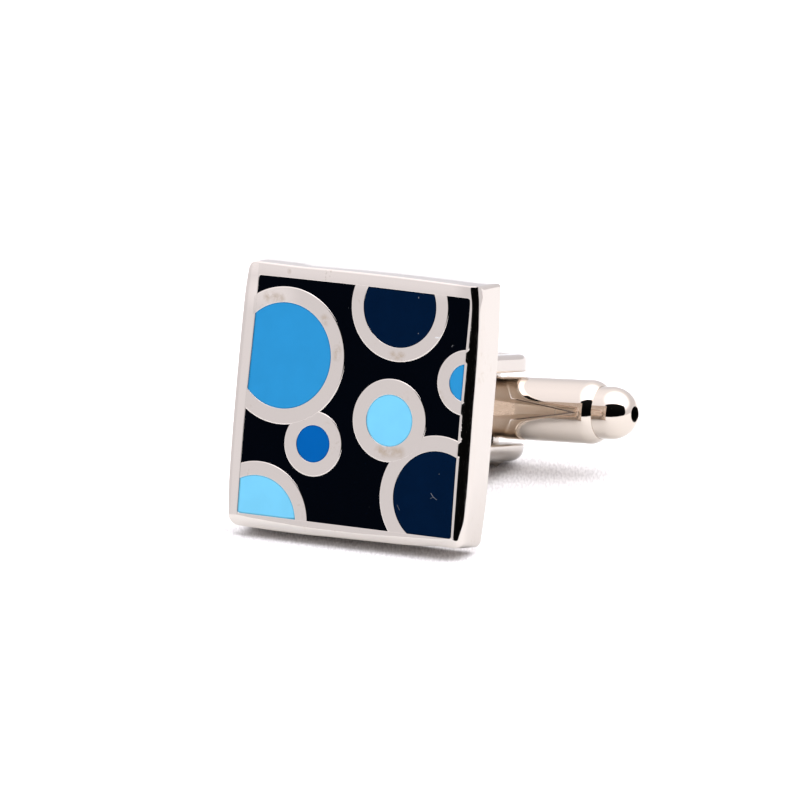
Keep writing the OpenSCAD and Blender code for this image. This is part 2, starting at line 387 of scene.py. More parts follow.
class Wiring:
    """Adds nodes to a tree and joins them."""

    def __init__(self, tree: Tree) -> None:
        """Works on one tree."""
        self.tree = tree

    def node(
        self, kind: str, inputs: dict[str | int, object] | None = None, **settings: object
    ) -> bpy.types.Node:
        """A new node.

        Args:
            kind: the node's type.
            inputs: a socket to link, or a value, by the input's name or number.
            settings: the node's properties.

        Returns:
            The node.
        """
        made = self.tree.nodes.new(kind)
        for key, value in settings.items():
            setattr(made, key, value)
        for key, value in (inputs or {}).items():
            if isinstance(value, Socket):
                self.tree.links.new(value, made.inputs[key])
            else:
                made.inputs[key].default_value = value
        return made

    def math(self, operation: str, *values: object, clamp: bool = False) -> Socket:
        """Result of a Math node."""
        inputs = dict(enumerate(values))
        return self.node("ShaderNodeMath", inputs, operation=operation, use_clamp=clamp).outputs[0]

    def chain(self, operation: str, *values: object) -> Socket:
        """Result of one operation on the first two values, then on that and the third, and so on."""
        return reduce(lambda first, second: self.math(operation, first, second), values)

    def vector(self, operation: str, first: object, second: object = None) -> object:
        """Outputs of a Vector Math node on one or two vectors."""
        inputs = {0: first} if second is None else {0: first, 1: second}
        return self.node("ShaderNodeVectorMath", inputs, operation=operation).outputs

    def dot(self, first: object, second: object) -> Socket:
        """Dot product of two vectors."""
        return self.vector("DOT_PRODUCT", first, second)["Value"]

    def ramp(
        self, value: object, low: float, high: object, to_low: float = 0.0, to_high: float = 1.0
    ) -> Socket:
        """Smooth step of a value, from to_low at low to to_high at high.

        Args:
            value: the value.
            low: where the step begins.
            high: where the step ends.
            to_low: the result up to low.
            to_high: the result from high on.

        Returns:
            The result's socket.
        """
        inputs = {"Value": value, "From Min": low, "From Max": high, "To Min": to_low, "To Max": to_high}
        made = self.node("ShaderNodeMapRange", inputs, interpolation_type="SMOOTHSTEP", clamp=True)
        return made.outputs["Result"]

    def noise(self, place: object, scale: float, detail: float = 2.0) -> Socket:
        """Noise texture between 0 and 1."""
        inputs = {"Vector": place, "Scale": scale, "Detail": detail}
        return self.node("ShaderNodeTexNoise", inputs).outputs["Fac"]

    def blend(self, share: object, first: object, second: object) -> Socket:
        """Colour between first, at share 0, and second, at share 1."""
        return self.node("ShaderNodeMix", {0: share, 6: first, 7: second}, data_type="RGBA").outputs[2]

    def bump(self, height: Socket, distance: float) -> Socket:
        """Normal from a height between 0 and 1, standing for a distance in metres."""
        inputs = {"Strength": 1.0, "Distance": distance, "Height": height}
        return self.node("ShaderNodeBump", inputs).outputs["Normal"]

    def mapped(self, place: object, inputs: dict[str, object], kind: str = "POINT") -> Socket:
        """A place after a Mapping node with the given inputs."""
        return self.node("ShaderNodeMapping", {"Vector": place, **inputs}, vector_type=kind).outputs[0]

    def shared(self, tree: Tree, inputs: dict[str, object]) -> object:
        """Outputs of a shared node group."""
        return self.node("ShaderNodeGroup", inputs, node_tree=tree).outputs


class Effect:
    """Shader node groups that several finishes share, each built once.

    Scales are per millimetre, and a step is the pair of values where it begins and ends. Patches and
    grains make the stains, hairs the hairlines and swells the waves.
    """

    made: dict[str, Tree] = {}
    patch_scale, patch_step = 0.55, (0.56, 0.72)
    grain_scale, grain_step = 4.5, (0.5, 0.72)
    hair_turn, hair_scale, hair_step = (0.2, 0.6, 0.4), (1.2, 26, 26), (0.66, 0.74)
    swell_scale, haze_scale = 0.9, 1.6
    dust_scale, dust_step, dust_size, dust_soft = 1.15, (0.8, 1.0), 0.06, 0.012

    @classmethod
    def group(
        cls, name: str, vectors: tuple[str, ...], numbers: tuple[str, ...], results: tuple[str, ...],
        wire: Callable[..., tuple[Socket, ...]],
    ) -> Tree:
        """A group, built at its first use.

        Args:
            name: the group's name.
            vectors: names of the inputs that are vectors.
            numbers: names of the inputs that are numbers.
            results: names of the outputs, which are numbers.
            wire: draws the group from its wiring and its inputs, and returns the outputs.

        Returns:
            The group's tree.
        """
        if name not in cls.made:
            tree = bpy.data.node_groups.new(name, "ShaderNodeTree")
            for labels, way, kind in ((vectors, "INPUT", "Vector"), (numbers, "INPUT", "Float"),
                                      (results, "OUTPUT", "Float")):
                for label in labels:
                    tree.interface.new_socket(name=label, in_out=way, socket_type="NodeSocket" + kind)
            w = Wiring(tree)
            given = w.node("NodeGroupInput")
            w.node("NodeGroupOutput", dict(zip(results, wire(w, *list(given.outputs)[:-1]))))
            cls.made[name] = tree
        return cls.made[name]

    @classmethod
    def handling(cls) -> Tree:
        """Marks of polishing and handling on metal: faint stains, uneven haze, waves and hairlines.

        Returns:
            The group, with Place, Stains, Waves and Hairlines in, and Stain, Haze and Height out.
        """

        def wire(w: Wiring, place: Socket, stains: Socket, waves: Socket, hairlines: Socket) -> tuple:
            """Stain is patches of two noises, haze soft clouds, height slow waves less hairlines.

            Args:
                w: wiring of the group.
                place: the place in millimetres.
                stains: strength of the stains.
                waves: height of the waves.
                hairlines: depth of the hairlines.

            Returns:
                Stain, haze and height.
            """
            patch = w.ramp(w.noise(place, cls.patch_scale, 3.0), *cls.patch_step)
            grains = w.ramp(w.noise(place, cls.grain_scale, 3.0), *cls.grain_step)
            drawn = w.mapped(place, {"Rotation": cls.hair_turn, "Scale": cls.hair_scale})
            hairs = w.math("MULTIPLY", w.ramp(w.noise(drawn, 1.0), *cls.hair_step), hairlines)
            swell = w.math("MULTIPLY", w.noise(place, cls.swell_scale, 1.0), waves)
            return (w.chain("MULTIPLY", patch, grains, stains), w.noise(place, cls.haze_scale, 4.0),
                    w.math("SUBTRACT", swell, hairs))

        return cls.group("handling_marks", ("Place",), ("Stains", "Waves", "Hairlines"),
                         ("Stain", "Haze", "Height"), wire)

    @classmethod
    def dust(cls) -> Tree:
        """Sparse pale specks: round spots in few of the cells of a Voronoi pattern.

        Returns:
            The group, with Place and Amount in, and Speck out.
        """

        def wire(w: Wiring, place: Socket, amount: Socket) -> tuple:
            """A speck is where the cell's point is nearer than a radius that most cells lack.

            Args:
                w: wiring of the group.
                place: the place in millimetres.
                amount: size of the specks.

            Returns:
                The specks' mask.
            """
            cells = w.node("ShaderNodeTexVoronoi", {"Vector": place, "Scale": cls.dust_scale},
                           feature="F1").outputs
            pick = w.node("ShaderNodeSeparateColor", {0: cells["Color"]}).outputs[0]
            size = w.chain("MULTIPLY", w.ramp(pick, *cls.dust_step), amount, cls.dust_size)
            inside = w.math("SUBTRACT", size, cells["Distance"])
            return (w.ramp(inside, -cls.dust_soft, cls.dust_soft),)

        return cls.group("dust_specks", ("Place",), ("Amount",), ("Speck",), wire)

    @classmethod
    def stroke(cls) -> Tree:
        """One mark on the front: a spot, a streak or a scratch.

        Returns:
            The group, with Place, Start, End and Reach in, and Mask out.
        """

        def wire(w: Wiring, place: Socket, start: Socket, end: Socket, reach: Socket) -> tuple:
            """The mask fades with the distance |p - a - (b - a) clamp((p - a) · (b - a) / (b - a)²)|
            of the place p to the line from a to b.

            Args:
                w: wiring of the group.
                place: the place in millimetres.
                start: where the mark starts.
                end: where the mark ends.
                reach: how far out the mark has faded.

            Returns:
                The mask.
            """
            away, whole = (w.vector("SUBTRACT", point, start)[0] for point in (place, end))
            share = w.math("DIVIDE", w.dot(away, whole), w.dot(whole, whole), clamp=True)
            part = w.node("ShaderNodeVectorMath", {0: whole, "Scale": share}, operation="SCALE")
            gap = w.vector("LENGTH", w.vector("SUBTRACT", away, part.outputs[0])[0])["Value"]
            return (w.ramp(gap, 0.0, reach, 1.0, 0.0),)

        return cls.group("stroke_marks", ("Place", "Start", "End"), ("Reach",), ("Mask",), wire)


@dataclass(frozen=True)
class Stroke:
    """A mark on the front: from (x, z) to (x, z), with the reach at which it has faded out."""

    start: tuple[float, float]
    end: tuple[float, float]
    reach: float

    def mask(self, w: Wiring, place: Socket) -> Socket:
        """The mark's mask.

        Args:
            w: wiring of the material.
            place: the place in the face's drawing frame.

        Returns:
            The mask's socket.
        """
        return w.shared(Effect.stroke(), {
            "Place": place, "Start": (self.start[0], 0, self.start[1]),
            "End": (self.end[0] + 1e-3, 0, self.end[1]), "Reach": self.reach,
        })["Mask"]


def together(w: Wiring, place: Socket, strokes: tuple[Stroke, ...]) -> object:
    """The strongest of several marks' masks at a place, or 0 without marks."""
    return reduce(lambda total, one: w.math("MAXIMUM", one.mask(w, place), total), strokes, 0.0)


@dataclass(frozen=True)
class Finish:
    """A finish: its name, the record's slot that it belongs to, and its colour in linear light."""

    name: str
    slot: str
    color: Triple
    roughness: float

    def pattern(self, w: Wiring, place: Socket) -> dict[str, object]:
        """Each finish draws its own pattern."""
        raise NotImplementedError

    def material(self, seat: Seat) -> bpy.types.Material:
        """The finish as a material.

        Args:
            seat: the drawing frame that the pattern is laid out in.

        Returns:
            The material.
        """
        material = bpy.data.materials.new(self.name)
        material.use_nodes = True
        material.node_tree.nodes.clear()
        w = Wiring(material.node_tree)
        place = w.mapped(w.node("ShaderNodeTexCoord").outputs["Object"], seat.unplace())
        shader = w.node("ShaderNodeBsdfPrincipled", self.pattern(w, place))
        w.node("ShaderNodeOutputMaterial", {"Surface": shader.outputs["BSDF"]})
        return material

    def rgba(self, share: float | Triple = 1.0) -> Rgba:
        """The colour, scaled whole or by channel, with an alpha of 1."""
        return (*np.minimum(np.array(self.color) * share, 1.0).tolist(), 1.0)


@dataclass(frozen=True)
class Metal(Finish):
    """Polished metal with stains, haze, slow polishing waves and hairlines.

    On the front it also has blots, scratches and strips of painted sheen, whose colour is made brighter
    to stand in for a brighter reflection. The haze varies the roughness by the shares in haze_span,
    and stains and scratches add to it.
    """

    stains: float = 0.0
    waves: float = 0.5
    hairlines: float = 0.3
    relief: float = 1.5e-6
    blots: tuple[Stroke, ...] = ()
    scratches: tuple[Stroke, ...] = ()
    # Painted sheen: strips where the colour is made brighter by the gain below, standing in for a brighter
    # reflection.
    painted_sheen: tuple[Stroke, ...] = ()
    stained: Triple = (0.79, 0.72, 0.63)
    sheen_gain: float = 1.19
    scratched: Rgba = (0.98, 0.96, 0.94, 1.0)
    grain_scale: float = 2.0
    grain_step: tuple[float, float] = (0.3, 0.62)
    haze_step: tuple[float, float] = (0.35, 0.75)
    haze_span: tuple[float, float] = (0.8, 1.3)
    stain_rough: float = 0.12
    scratch_rough: float = 0.5

    def pattern(self, w: Wiring, place: Socket) -> dict[str, object]:
        """Colour, roughness and relief.

        Args:
            w: wiring of the material.
            place: the place in millimetres.

        Returns:
            Inputs of the surface shader, by name.
        """
        marks = w.shared(Effect.handling(), {
            "Place": place, "Stains": self.stains, "Waves": self.waves, "Hairlines": self.hairlines,
        })
        stain, color = marks["Stain"], self.rgba()
        if self.blots:
            grain = w.ramp(w.noise(place, self.grain_scale, 5.0), *self.grain_step)
            stain = w.math("MAXIMUM", stain, w.math("MULTIPLY", together(w, place, self.blots), grain))
        # Painted sheen: brighter colour in these strips stands in for a brighter reflection.
        if self.painted_sheen:
            color = w.blend(together(w, place, self.painted_sheen), color, self.rgba(self.sheen_gain))
        color = w.blend(stain, color, self.rgba(self.stained))
        span = (self.roughness * share for share in self.haze_span)
        rough = w.math("MULTIPLY_ADD", stain, self.stain_rough,
                       w.ramp(marks["Haze"], *self.haze_step, *span))
        if self.scratches:
            scratch = together(w, place, self.scratches)
            color = w.blend(scratch, color, self.scratched)
            rough = w.math("MULTIPLY_ADD", scratch, self.scratch_rough, rough)
        return {"Base Color": color, "Roughness": rough, "Metallic": 1.0,
                "Normal": w.bump(marks["Height"], self.relief)}


@dataclass(frozen=True)
class Enamel(Finish):
    """Hard enamel, fired and polished flush: even colour, a faint mottle, a darker line along the
    metal, a few flecks and scratches, fine dust on top.

    The line takes line_share of its place and has line_tone of the colour.
    """

    mottle: float = 0.05
    dust: float = 1.0
    flecks: tuple[Stroke, ...] = ()
    pale: Rgba = (0.42, 0.43, 0.43, 1.0)
    cloud_scale: float = 0.7
    cloud_step: tuple[float, float] = (0.3, 0.7)
    line_share: float = 0.75
    line_tone: float = 0.2
    fleck_share: float = 0.6
    fleck_rough: float = 0.5
    haze_scale: float = 2.5
    haze_step: tuple[float, float] = (0.3, 0.8)
    haze_most: float = 1.6
    wave_scale: float = 1.8
    relief: float = 1.2e-6
    gleam: float = 0.01

    def pattern(self, w: Wiring, place: Socket) -> dict[str, object]:
        """Colour, roughness and relief. The rim attribute is 1 along the metal.

        Args:
            w: wiring of the material.
            place: the place in millimetres.

        Returns:
            Inputs of the surface shader, by name.
        """
        specks = w.shared(Effect.dust(), {"Place": place, "Amount": self.dust})["Speck"]
        cloud = w.ramp(w.noise(place, self.cloud_scale), *self.cloud_step)
        fired = w.blend(cloud, self.rgba(1 - self.mottle), self.rgba(1 + self.mottle))
        rim = w.node("ShaderNodeAttribute", attribute_name="rim").outputs["Fac"]
        fired = w.blend(w.math("MULTIPLY", rim, self.line_share), fired, self.rgba(self.line_tone))
        flecks = w.math("MULTIPLY", together(w, place, self.flecks), self.fleck_share)
        speck = w.math("MAXIMUM", specks, flecks)
        haze = w.ramp(w.noise(place, self.haze_scale, 3.0), *self.haze_step, self.roughness,
                      self.roughness * self.haze_most)
        return {"Base Color": w.blend(speck, fired, self.pale),
                "Roughness": w.math("MULTIPLY_ADD", speck, self.fleck_rough, haze),
                "Normal": w.bump(w.noise(place, self.wave_scale, 1.0), self.relief),
                "Specular IOR Level": self.gleam}


class Palette:
    """All finishes of the cufflink."""

    face = Metal(
        "plated_face", "plated_metal", (0.82, 0.74, 0.67), 0.06, stains=0.5, waves=0.3,
        hairlines=0.25, relief=1.0e-6,
        blots=(
            Stroke((-6.35, 5.92), (-5.55, 5.88), 0.5), Stroke((-1.38, 3.25), (-1.38, 2.8), 0.4),
            Stroke((-2.45, 5.0), (-2.3, 4.85), 0.4), Stroke((2.4, 3.3), (3.0, 3.35), 0.45),
            Stroke((2.1, -2.5), (3.4, -2.45), 0.55), Stroke((5.84, 1.35), (5.9, 1.2), 0.3),
            Stroke((-5.1, 7.62), (-5.1, 7.55), 0.2),
        ),
        # Painted sheen along the top border and at the upper left, standing in for a brighter reflection.
        painted_sheen=(Stroke((-7.5, 7.8), (6.0, 7.8), 1.1), Stroke((-7.0, 6.2), (-5.5, 6.1), 1.6)),
        scratches=(Stroke((5.21, 4.68), (5.65, 4.72), 0.07), Stroke((5.65, 4.72), (5.95, 4.98), 0.05)),
    )
    back = Metal("brushed_back", "plated_metal", (0.68, 0.57, 0.48), 0.3, stains=0.3,
                 waves=0.5, hairlines=0.8, relief=3e-6)
    # A little darker than the face's plating: painted shade for the post and ears, which look dim where they
    # mirror the shadowed floor.
    closure = Metal("plated_closure", "plated_metal", (0.765, 0.685, 0.62), 0.09, stains=0.0,
                    waves=0.4, hairlines=0.1, relief=1.2e-6)
    toggle = Metal("plated_toggle", "plated_metal", (0.84, 0.735, 0.635), 0.05, stains=0.0,
                   waves=0.4, hairlines=0.1, relief=1.2e-6)
    # Slot lining: rougher metal, its colour darkened as painted shade for the narrow slot between the ears.
    slot_shade = Metal("slot_lining_painted_shade", "plated_metal", (0.68, 0.60, 0.52), 0.35, stains=0.3,
                    waves=0.4, hairlines=0.2, relief=2e-6)
    # Painted shade: dark cut edges of the sleeves' notches, standing in for shadow and dark reflection
    # there.
    notch_shade = Metal("notch_edge_painted_shade", "plated_metal", (0.20, 0.155, 0.125), 0.4, relief=2e-6)
    # Painted shade: near-black lining of the tip holes, standing in for the shadow deep inside them.
    hole_shade = Metal("hole_painted_shade", "plated_metal", (0.02, 0.018, 0.016), 0.6, relief=2e-6)
    rivet = Metal("rivet", "plated_metal", (0.80, 0.72, 0.65), 0.16, stains=0.4,
                  waves=0.8, hairlines=0.2, relief=4e-6)
    solder = Metal("solder_seam", "solder", (0.70, 0.66, 0.62), 0.3, stains=0.6,
                   waves=1.0, hairlines=0.0, relief=8e-6)
    brass = Metal("turned_brass", "plunger_brass", (0.80, 0.58, 0.27), 0.22, waves=0.4, hairlines=0.8)
    steel = Metal("spring_wire", "spring_steel", (0.52, 0.52, 0.53), 0.25, waves=0.4, hairlines=0.8)
    black = Enamel(
        "enamel_black_fired", "enamel_black", (0.0003, 0.0009, 0.0024), 0.08, dust=0.5,
        flecks=(
            Stroke((6.35, 4.26), (6.41, 4.34), 0.055), Stroke((6.31, 5.02), (6.31, 5.02), 0.035),
            Stroke((6.46, 6.87), (6.56, 6.95), 0.03), Stroke((6.56, 6.95), (6.68, 6.9), 0.03),
            Stroke((1.67, -5.94), (1.67, -5.94), 0.04),
        ),
    )
    blue = Enamel("enamel_blue_fired", "enamel_blue", (0.0225, 0.247, 0.52), 0.08, mottle=0.02, dust=0.0)
    navy = Enamel(
        "enamel_navy_fired", "enamel_navy", (0.0004, 0.0069, 0.026), 0.08, dust=0.4,
        flecks=(
            Stroke((5.78, -4.66), (5.96, -4.87), 0.035), Stroke((5.96, -4.87), (6.2, -5.0), 0.03),
            Stroke((5.96, -4.87), (5.78, -4.97), 0.025), Stroke((3.55, -5.6), (3.75, -5.9), 0.025),
            Stroke((6.23, -3.45), (6.23, -3.45), 0.04), Stroke((3.83, 6.92), (3.83, 6.98), 0.04),
            Stroke((4.02, 4.8), (4.02, 4.8), 0.045),
        ),
    )
    sky = Enamel("enamel_sky_fired", "enamel_sky", (0.169, 0.543, 0.775), 0.08, mottle=0.02, dust=0.0)
    royal = Enamel("enamel_royal_fired", "enamel_royal", (0.0012, 0.099, 0.358), 0.08, mottle=0.02, dust=0.0)


class Workshop:
    """Turns skins into dressed pieces on the frame, and keeps one material for each finish and seat."""

    def __init__(self) -> None:
        """Starts with no material made."""
        self.materials: dict[tuple[str, float], bpy.types.Material] = {}

    def dye(self, finish: Finish, seat: Seat) -> bpy.types.Material:
        """The finish's material for the pieces of one seat, made once.

        Args:
            finish: the finish.
            seat: the pieces' drawing frame.

        Returns:
            The material.
        """
        key = (finish.name, seat.twist)
        if key not in self.materials:
            self.materials[key] = finish.material(seat)
        return self.materials[key]

    def piece(
        self, name: str, skin: Skin, seat: Seat, finish: Finish, body: Body, stands_for: str,
        second: tuple[Finish, Callable[[Array], Array]] | None = None,
    ) -> bpy.types.Object:
        """Makes an object of a skin, dresses it and sets it on the frame.

        Args:
            name: the piece's name.
            skin: its closed skin.
            seat: its drawing frame.
            finish: its finish.
            body: the body that it rides on.
            stands_for: the frame's node that it replaces.
            second: a finish for some of the faces, and the rule that picks them by their middles.

        Returns:
            The object.
        """
        made = bpy.data.objects.new(name, skin.mesh(name, seat))
        bpy.context.scene.collection.objects.link(made)
        made.data.materials.append(self.dye(finish, seat))
        if second is not None:
            made.data.materials.append(self.dye(second[0], seat))
            chosen = second[1](skin.centres()).astype(np.int32)
            made.data.polygons.foreach_set("material_index", chosen)
        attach(made, body.value)
        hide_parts(stands_for)
        log.info("%s: %d faces, for %s", name, len(made.data.polygons), stands_for)
        return made


@dataclass(frozen=True)
class Cell:
    """A ringed circle of the pattern: centre, radius of its enamel and width of its ring."""

    name: str
    x: float
    z: float
    radius: float
    ring: float
    finish: Enamel

    @property
    def outer(self) -> float:
        """Radius of the ring's outside."""
        return self.radius + self.ring

    def away(self, points: Array) -> Array:
        """Distance of points (x, z) from the centre."""
        return np.hypot(points[:, 0] - self.x, points[:, 1] - self.z)


@dataclass(frozen=True)
class Wear:
    """How one side of the front was struck and polished. Knots go by place along the side.

    lift moves the side's outline out. fence is the width of the flat strip beside the enamel.
    Past start the metal falls away evenly by slope, and past knee also by
    depth (cos t - sqrt(1 - q²)) / cos t, where t is the tilt and q runs evenly from sin t to full at
    the side wall. With follow, start and knee are counted from the fence's edge.
    pinch moves the cell's edge out. The wall leans out by draft at the back.
    """

    fence: Knots
    depth: Knots
    lift: Knots = ((0.0, 0.0),)
    start: float = 0.0
    slope: float = 0.0
    knee: float = 0.0
    full: float = 1.0
    tilt: float = 0.05
    follow: bool = True
    pinch: Knots = ((0.0, 0.0),)
    draft: Knots = ((0.0, 0.0),)

    def edge(self, place: Array) -> Array:
        """How far the cell's edge lies out of the square at a place."""
        return eased(self.pinch, place)

    def fall(self, across: Array, width: Array, place: Array) -> Array:
        """Depth of the worn surface under the flat front.

        Args:
            across: distances from the cell's edge outwards.
            width: distance from the cell's edge to the side wall.
            place: places along the side.

        Returns:
            The depths.
        """
        begin = eased(self.fence, place) if self.follow else 0.0
        past, low, level = across - begin, math.sin(self.tilt), math.cos(self.tilt)
        q = low + (self.full - low) * np.clip((past - self.knee) / (width - begin - self.knee), 0, 1)
        drop = (level - np.sqrt(np.clip(1 - q**2, 0, 1))) / level
        return (self.slope * np.clip(past - self.start, 0, None)
                + eased(self.depth, place) * drop * (past > self.knee))


@dataclass
class Face:
    """The struck plate with its rings, and the enamel in its cells.

    The sides go from the top round by the left, and corners are the outline's radii from the top
    right one on. torn, torn_at and torn_long are the height, place and length of the ragged stretch
    of the right fence. Each further ring is sunk a hair deeper. inner_row is how far inside its edge
    a fill has one more row of points.
    """

    seat: Seat
    half: float = 8.0
    bow: float = 0.1
    corners: tuple[float, float, float, float] = (0.25, 0.55, 0.6, 0.5)
    thick: float = 2.66
    cell: float = 7.25
    cell_corner: float = 0.16
    depth: float = 0.6
    low: float = 0.012
    ground_low: float = 0.03
    tuck: float = 0.04
    edge: float = 0.09
    fence_edge: float = 0.03
    bevel: float = 0.045
    flush: float = 0.003
    worn_end: float = 0.14
    worn_from: float = 0.05
    worn_to: float = 0.02
    span_short: float = 0.5
    wall_spare: float = 0.004
    least_flat: float = 0.008
    ragged: float = 0.002
    torn: float = 0.05
    torn_at: float = -0.75
    torn_long: float = 0.6
    sink: float = 0.0008
    draft_curve: float = 1.6
    inner_row: float = 0.12
    pole_inside: float = 0.3
    dark_line: float = 0.07
    back_edge: float = 0.05
    along_side: int = 260
    along_corner: int = 20
    ground_steps: int = 240
    sides: tuple[Wear, Wear, Wear, Wear] = (
        Wear(fence=((-7.3, 0.68), (-4.4, 0.6), (0, 0.63), (2.4, 0.67), (7.2, 0.64)),
             depth=((0, 0.1),), full=0.985, draft=((0, 0.18),),
             pinch=((-7.2, -0.09), (-5.0, -0.05), (-1.0, 0)),
             lift=((-7.5, -0.03), (-4.4, -0.11), (0, -0.06), (2.4, -0.04), (7.1, -0.01))),
        Wear(fence=((0, 0.08),), depth=((0, 0.05),), slope=0.06, knee=0.4,
             pinch=((-7.2, 0), (-4.5, 0.03), (-2.0, 0.05), (0, 0.02), (3, -0.06), (6.5, -0.13)),
             lift=((-8, -0.2), (-7.2, -0.12), (-6.3, -0.05), (-5.2, 0.0), (6.0, -0.01), (7.0, -0.06),
                   (7.6, -0.12))),
        Wear(fence=((-7.4, 0.1), (-6.7, 0.18), (-3.6, 0.34), (-2.2, 0.38), (1.2, 0.36), (3.9, 0.23),
                    (6.6, 0.12), (7.4, -0.02), (8, -0.12)),
             depth=((0, 0.42),), slope=0.12, full=0.83,
             lift=((-4.6, 0.02), (-2.3, -0.01), (-0.9, -0.06), (1.9, -0.1), (4.6, -0.12), (6.0, -0.22),
                   (6.8, -0.24), (7.5, -0.19))),
        Wear(fence=((-8, 0.16), (-7, 0.165), (-5, 0.185), (-2, 0.185), (-0.2, 0.165), (4, 0.18),
                    (6.3, 0.17), (6.9, 0.16), (7.3, 0.1), (7.8, 0.03)),
             depth=((-7.5, 0.8), (-7.1, 0.47), (-6.4, 0.47), (-5.6, 0.58), (-4.6, 0.64), (-3.2, 0.7),
                    (-1.9, 0.72), (2.5, 0.7), (5.0, 0.71), (6.4, 0.64), (7.0, 0.58), (7.5, 0.6),
                    (7.9, 0.85)),
             start=0.02, slope=0.22, knee=0.25, follow=False, draft=((6.6, 0), (7.2, 0.02), (8, 0.1)),
             pinch=((-7.6, 0.14), (-6, 0.1), (-4, 0.07), (0, 0.045), (4, 0.07), (6.6, 0.11),
                    (7.3, 0.08), (7.8, -0.02)),
             lift=((-7.5, 0.04), (-7.0, 0.06), (-6.3, 0.1), (-5.2, 0.125), (-3.8, 0.12), (-0.6, 0.075),
                   (4.4, 0.07), (5.4, 0.055), (6.5, 0.0), (7.2, -0.05), (8, -0.15))),
    )
    cells: tuple[Cell, ...] = (
        Cell("blue_large", -4.98, 2.51, 3.2, 0.98, Palette.blue),
        Cell("navy_upper", 2.63, 6.26, 2.46, 0.88, Palette.navy),
        Cell("blue_small", 7.54, 2.18, 1.13, 0.88, Palette.blue),
        Cell("sky_center", 2.55, -0.62, 1.56, 0.98, Palette.sky),
        Cell("royal", -2.5, -2.57, 1.12, 0.88, Palette.royal),
        Cell("sky_corner", -6.02, -7.6, 2.74, 0.88, Palette.sky),
        Cell("navy_corner", 6.1, -4.96, 2.85, 0.98, Palette.navy),
    )

    def loop(self, half: float, corners: tuple[float, ...], bow: float) -> Array:
        """Outline of a square with bowed sides, from the top right corner round by the left.

        Side point at share s: half + bow (1 - s²) out, with s from 1 to -1 between the corners' arcs.

        Args:
            half: half the square's width at its corners.
            corners: radii of the top right, top left, bottom left and bottom right corners.
            bow: how far the sides' middles stand out.

        Returns:
            Points (x, z), shaped (n, 2).
        """
        angle = np.linspace(0, np.pi / 2, self.along_corner, endpoint=False)
        share = np.linspace(1, -1, self.along_side, endpoint=False)
        quarters = []
        for k, here in enumerate(corners):
            after = corners[(k + 1) % 4]
            arc = half - here + here * np.stack([np.cos(angle), np.sin(angle)], axis=1)
            along = (after - here) / 2 + share * (half - (here + after) / 2)
            side = np.stack([along, half + bow * (1 - share**2)], axis=1)
            q = k * np.pi / 2
            turn = np.array([[math.cos(q), math.sin(q)], [-math.sin(q), math.cos(q)]])
            quarters.append(np.vstack([arc, side]) @ turn)
        return np.vstack(quarters)

    def spread(self, points: Array, shift: Callable[[Wear, Array], object]) -> Array:
        """Points (x, z) moved outwards by each side's shift, in proportion to how near the side is.

        Args:
            points: points (x, z).
            shift: how far a side moves out, from its wear and the places along it.

        Returns:
            The moved points.
        """
        moved = points.copy()
        for wear, axis, sign in zip(self.sides, SIDE_AXES, SIDE_SIGNS):
            near = np.clip(sign * points[:, axis] / self.half, 0, 1)
            moved[:, axis] += sign * near * shift(wear, points[:, 1 - axis])
        return moved

    def cell_loop(self, spare: float) -> Array:
        """Edge of the cell area, spare wider than it is."""
        square = self.loop(self.cell + spare, (self.cell_corner,) * 4, 0.0)
        return self.spread(square, lambda wear, place: wear.edge(place) * self.half / self.cell)

    def by_side(self, points: Array) -> list[tuple[Wear, Array, Array]]:
        """Where points lie against each side.

        Args:
            points: points (x, z), in an array of any shape.

        Returns:
            For each side its wear, the distances past that side of the cell, and the places along it.
        """
        x, z = points[..., 0], points[..., 1]
        places = (x, z, x, z)
        return [(wear, out - self.cell - wear.edge(place), place)
                for wear, out, place in zip(self.sides, (z, -x, -z, x), places)]

    def inward(self, points: Array) -> Array:
        """How far each point (x, z) lies inside the cell area's edge."""
        return np.min([-across for _, across, _ in self.by_side(points)], axis=0)

    def level(self, points: Array) -> Array:
        """Depth of the worn front at each point (x, z): the root of the sum of the sides' squared
        falls.

        Args:
            points: points (x, z), in an array of any shape.

        Returns:
            The depths.
        """
        total = np.zeros(points.shape[:-1])
        for wear, across, place in self.by_side(points):
            span = np.clip(place / (self.half - self.span_short), -1, 1)
            width = (self.half - self.cell - wear.edge(place) + self.bow * (1 - span**2)
                     + eased(wear.lift, place) + self.wall_spare)
            total += wear.fall(across, width, place) ** 2
        return np.sqrt(total)

    def bare(self, z: Array) -> Array:
        """Share of the right side's fence that is worn away at height z, where a ring meets it.

        Args:
            z: heights along the side.

        Returns:
            Shares between 0 and 1.
        """
        gone = np.zeros_like(z)
        for cell in self.cells:
            reach = self.cell + float(self.sides[RIGHT].edge(np.array(cell.z))) - cell.x
            if reach < cell.radius and abs(cell.z) < self.cell:
                inner = math.sqrt(cell.radius**2 - reach**2) + self.worn_from
                outer = math.sqrt(cell.outer**2 - reach**2) - self.worn_to
                away = np.abs(z - cell.z)
                gone = np.maximum(gone, np.clip((away - inner) / self.worn_end, 0, 1)
                                  * np.clip((outer - away) / self.worn_end, 0, 1))
        return gone * gone * (3 - 2 * gone)

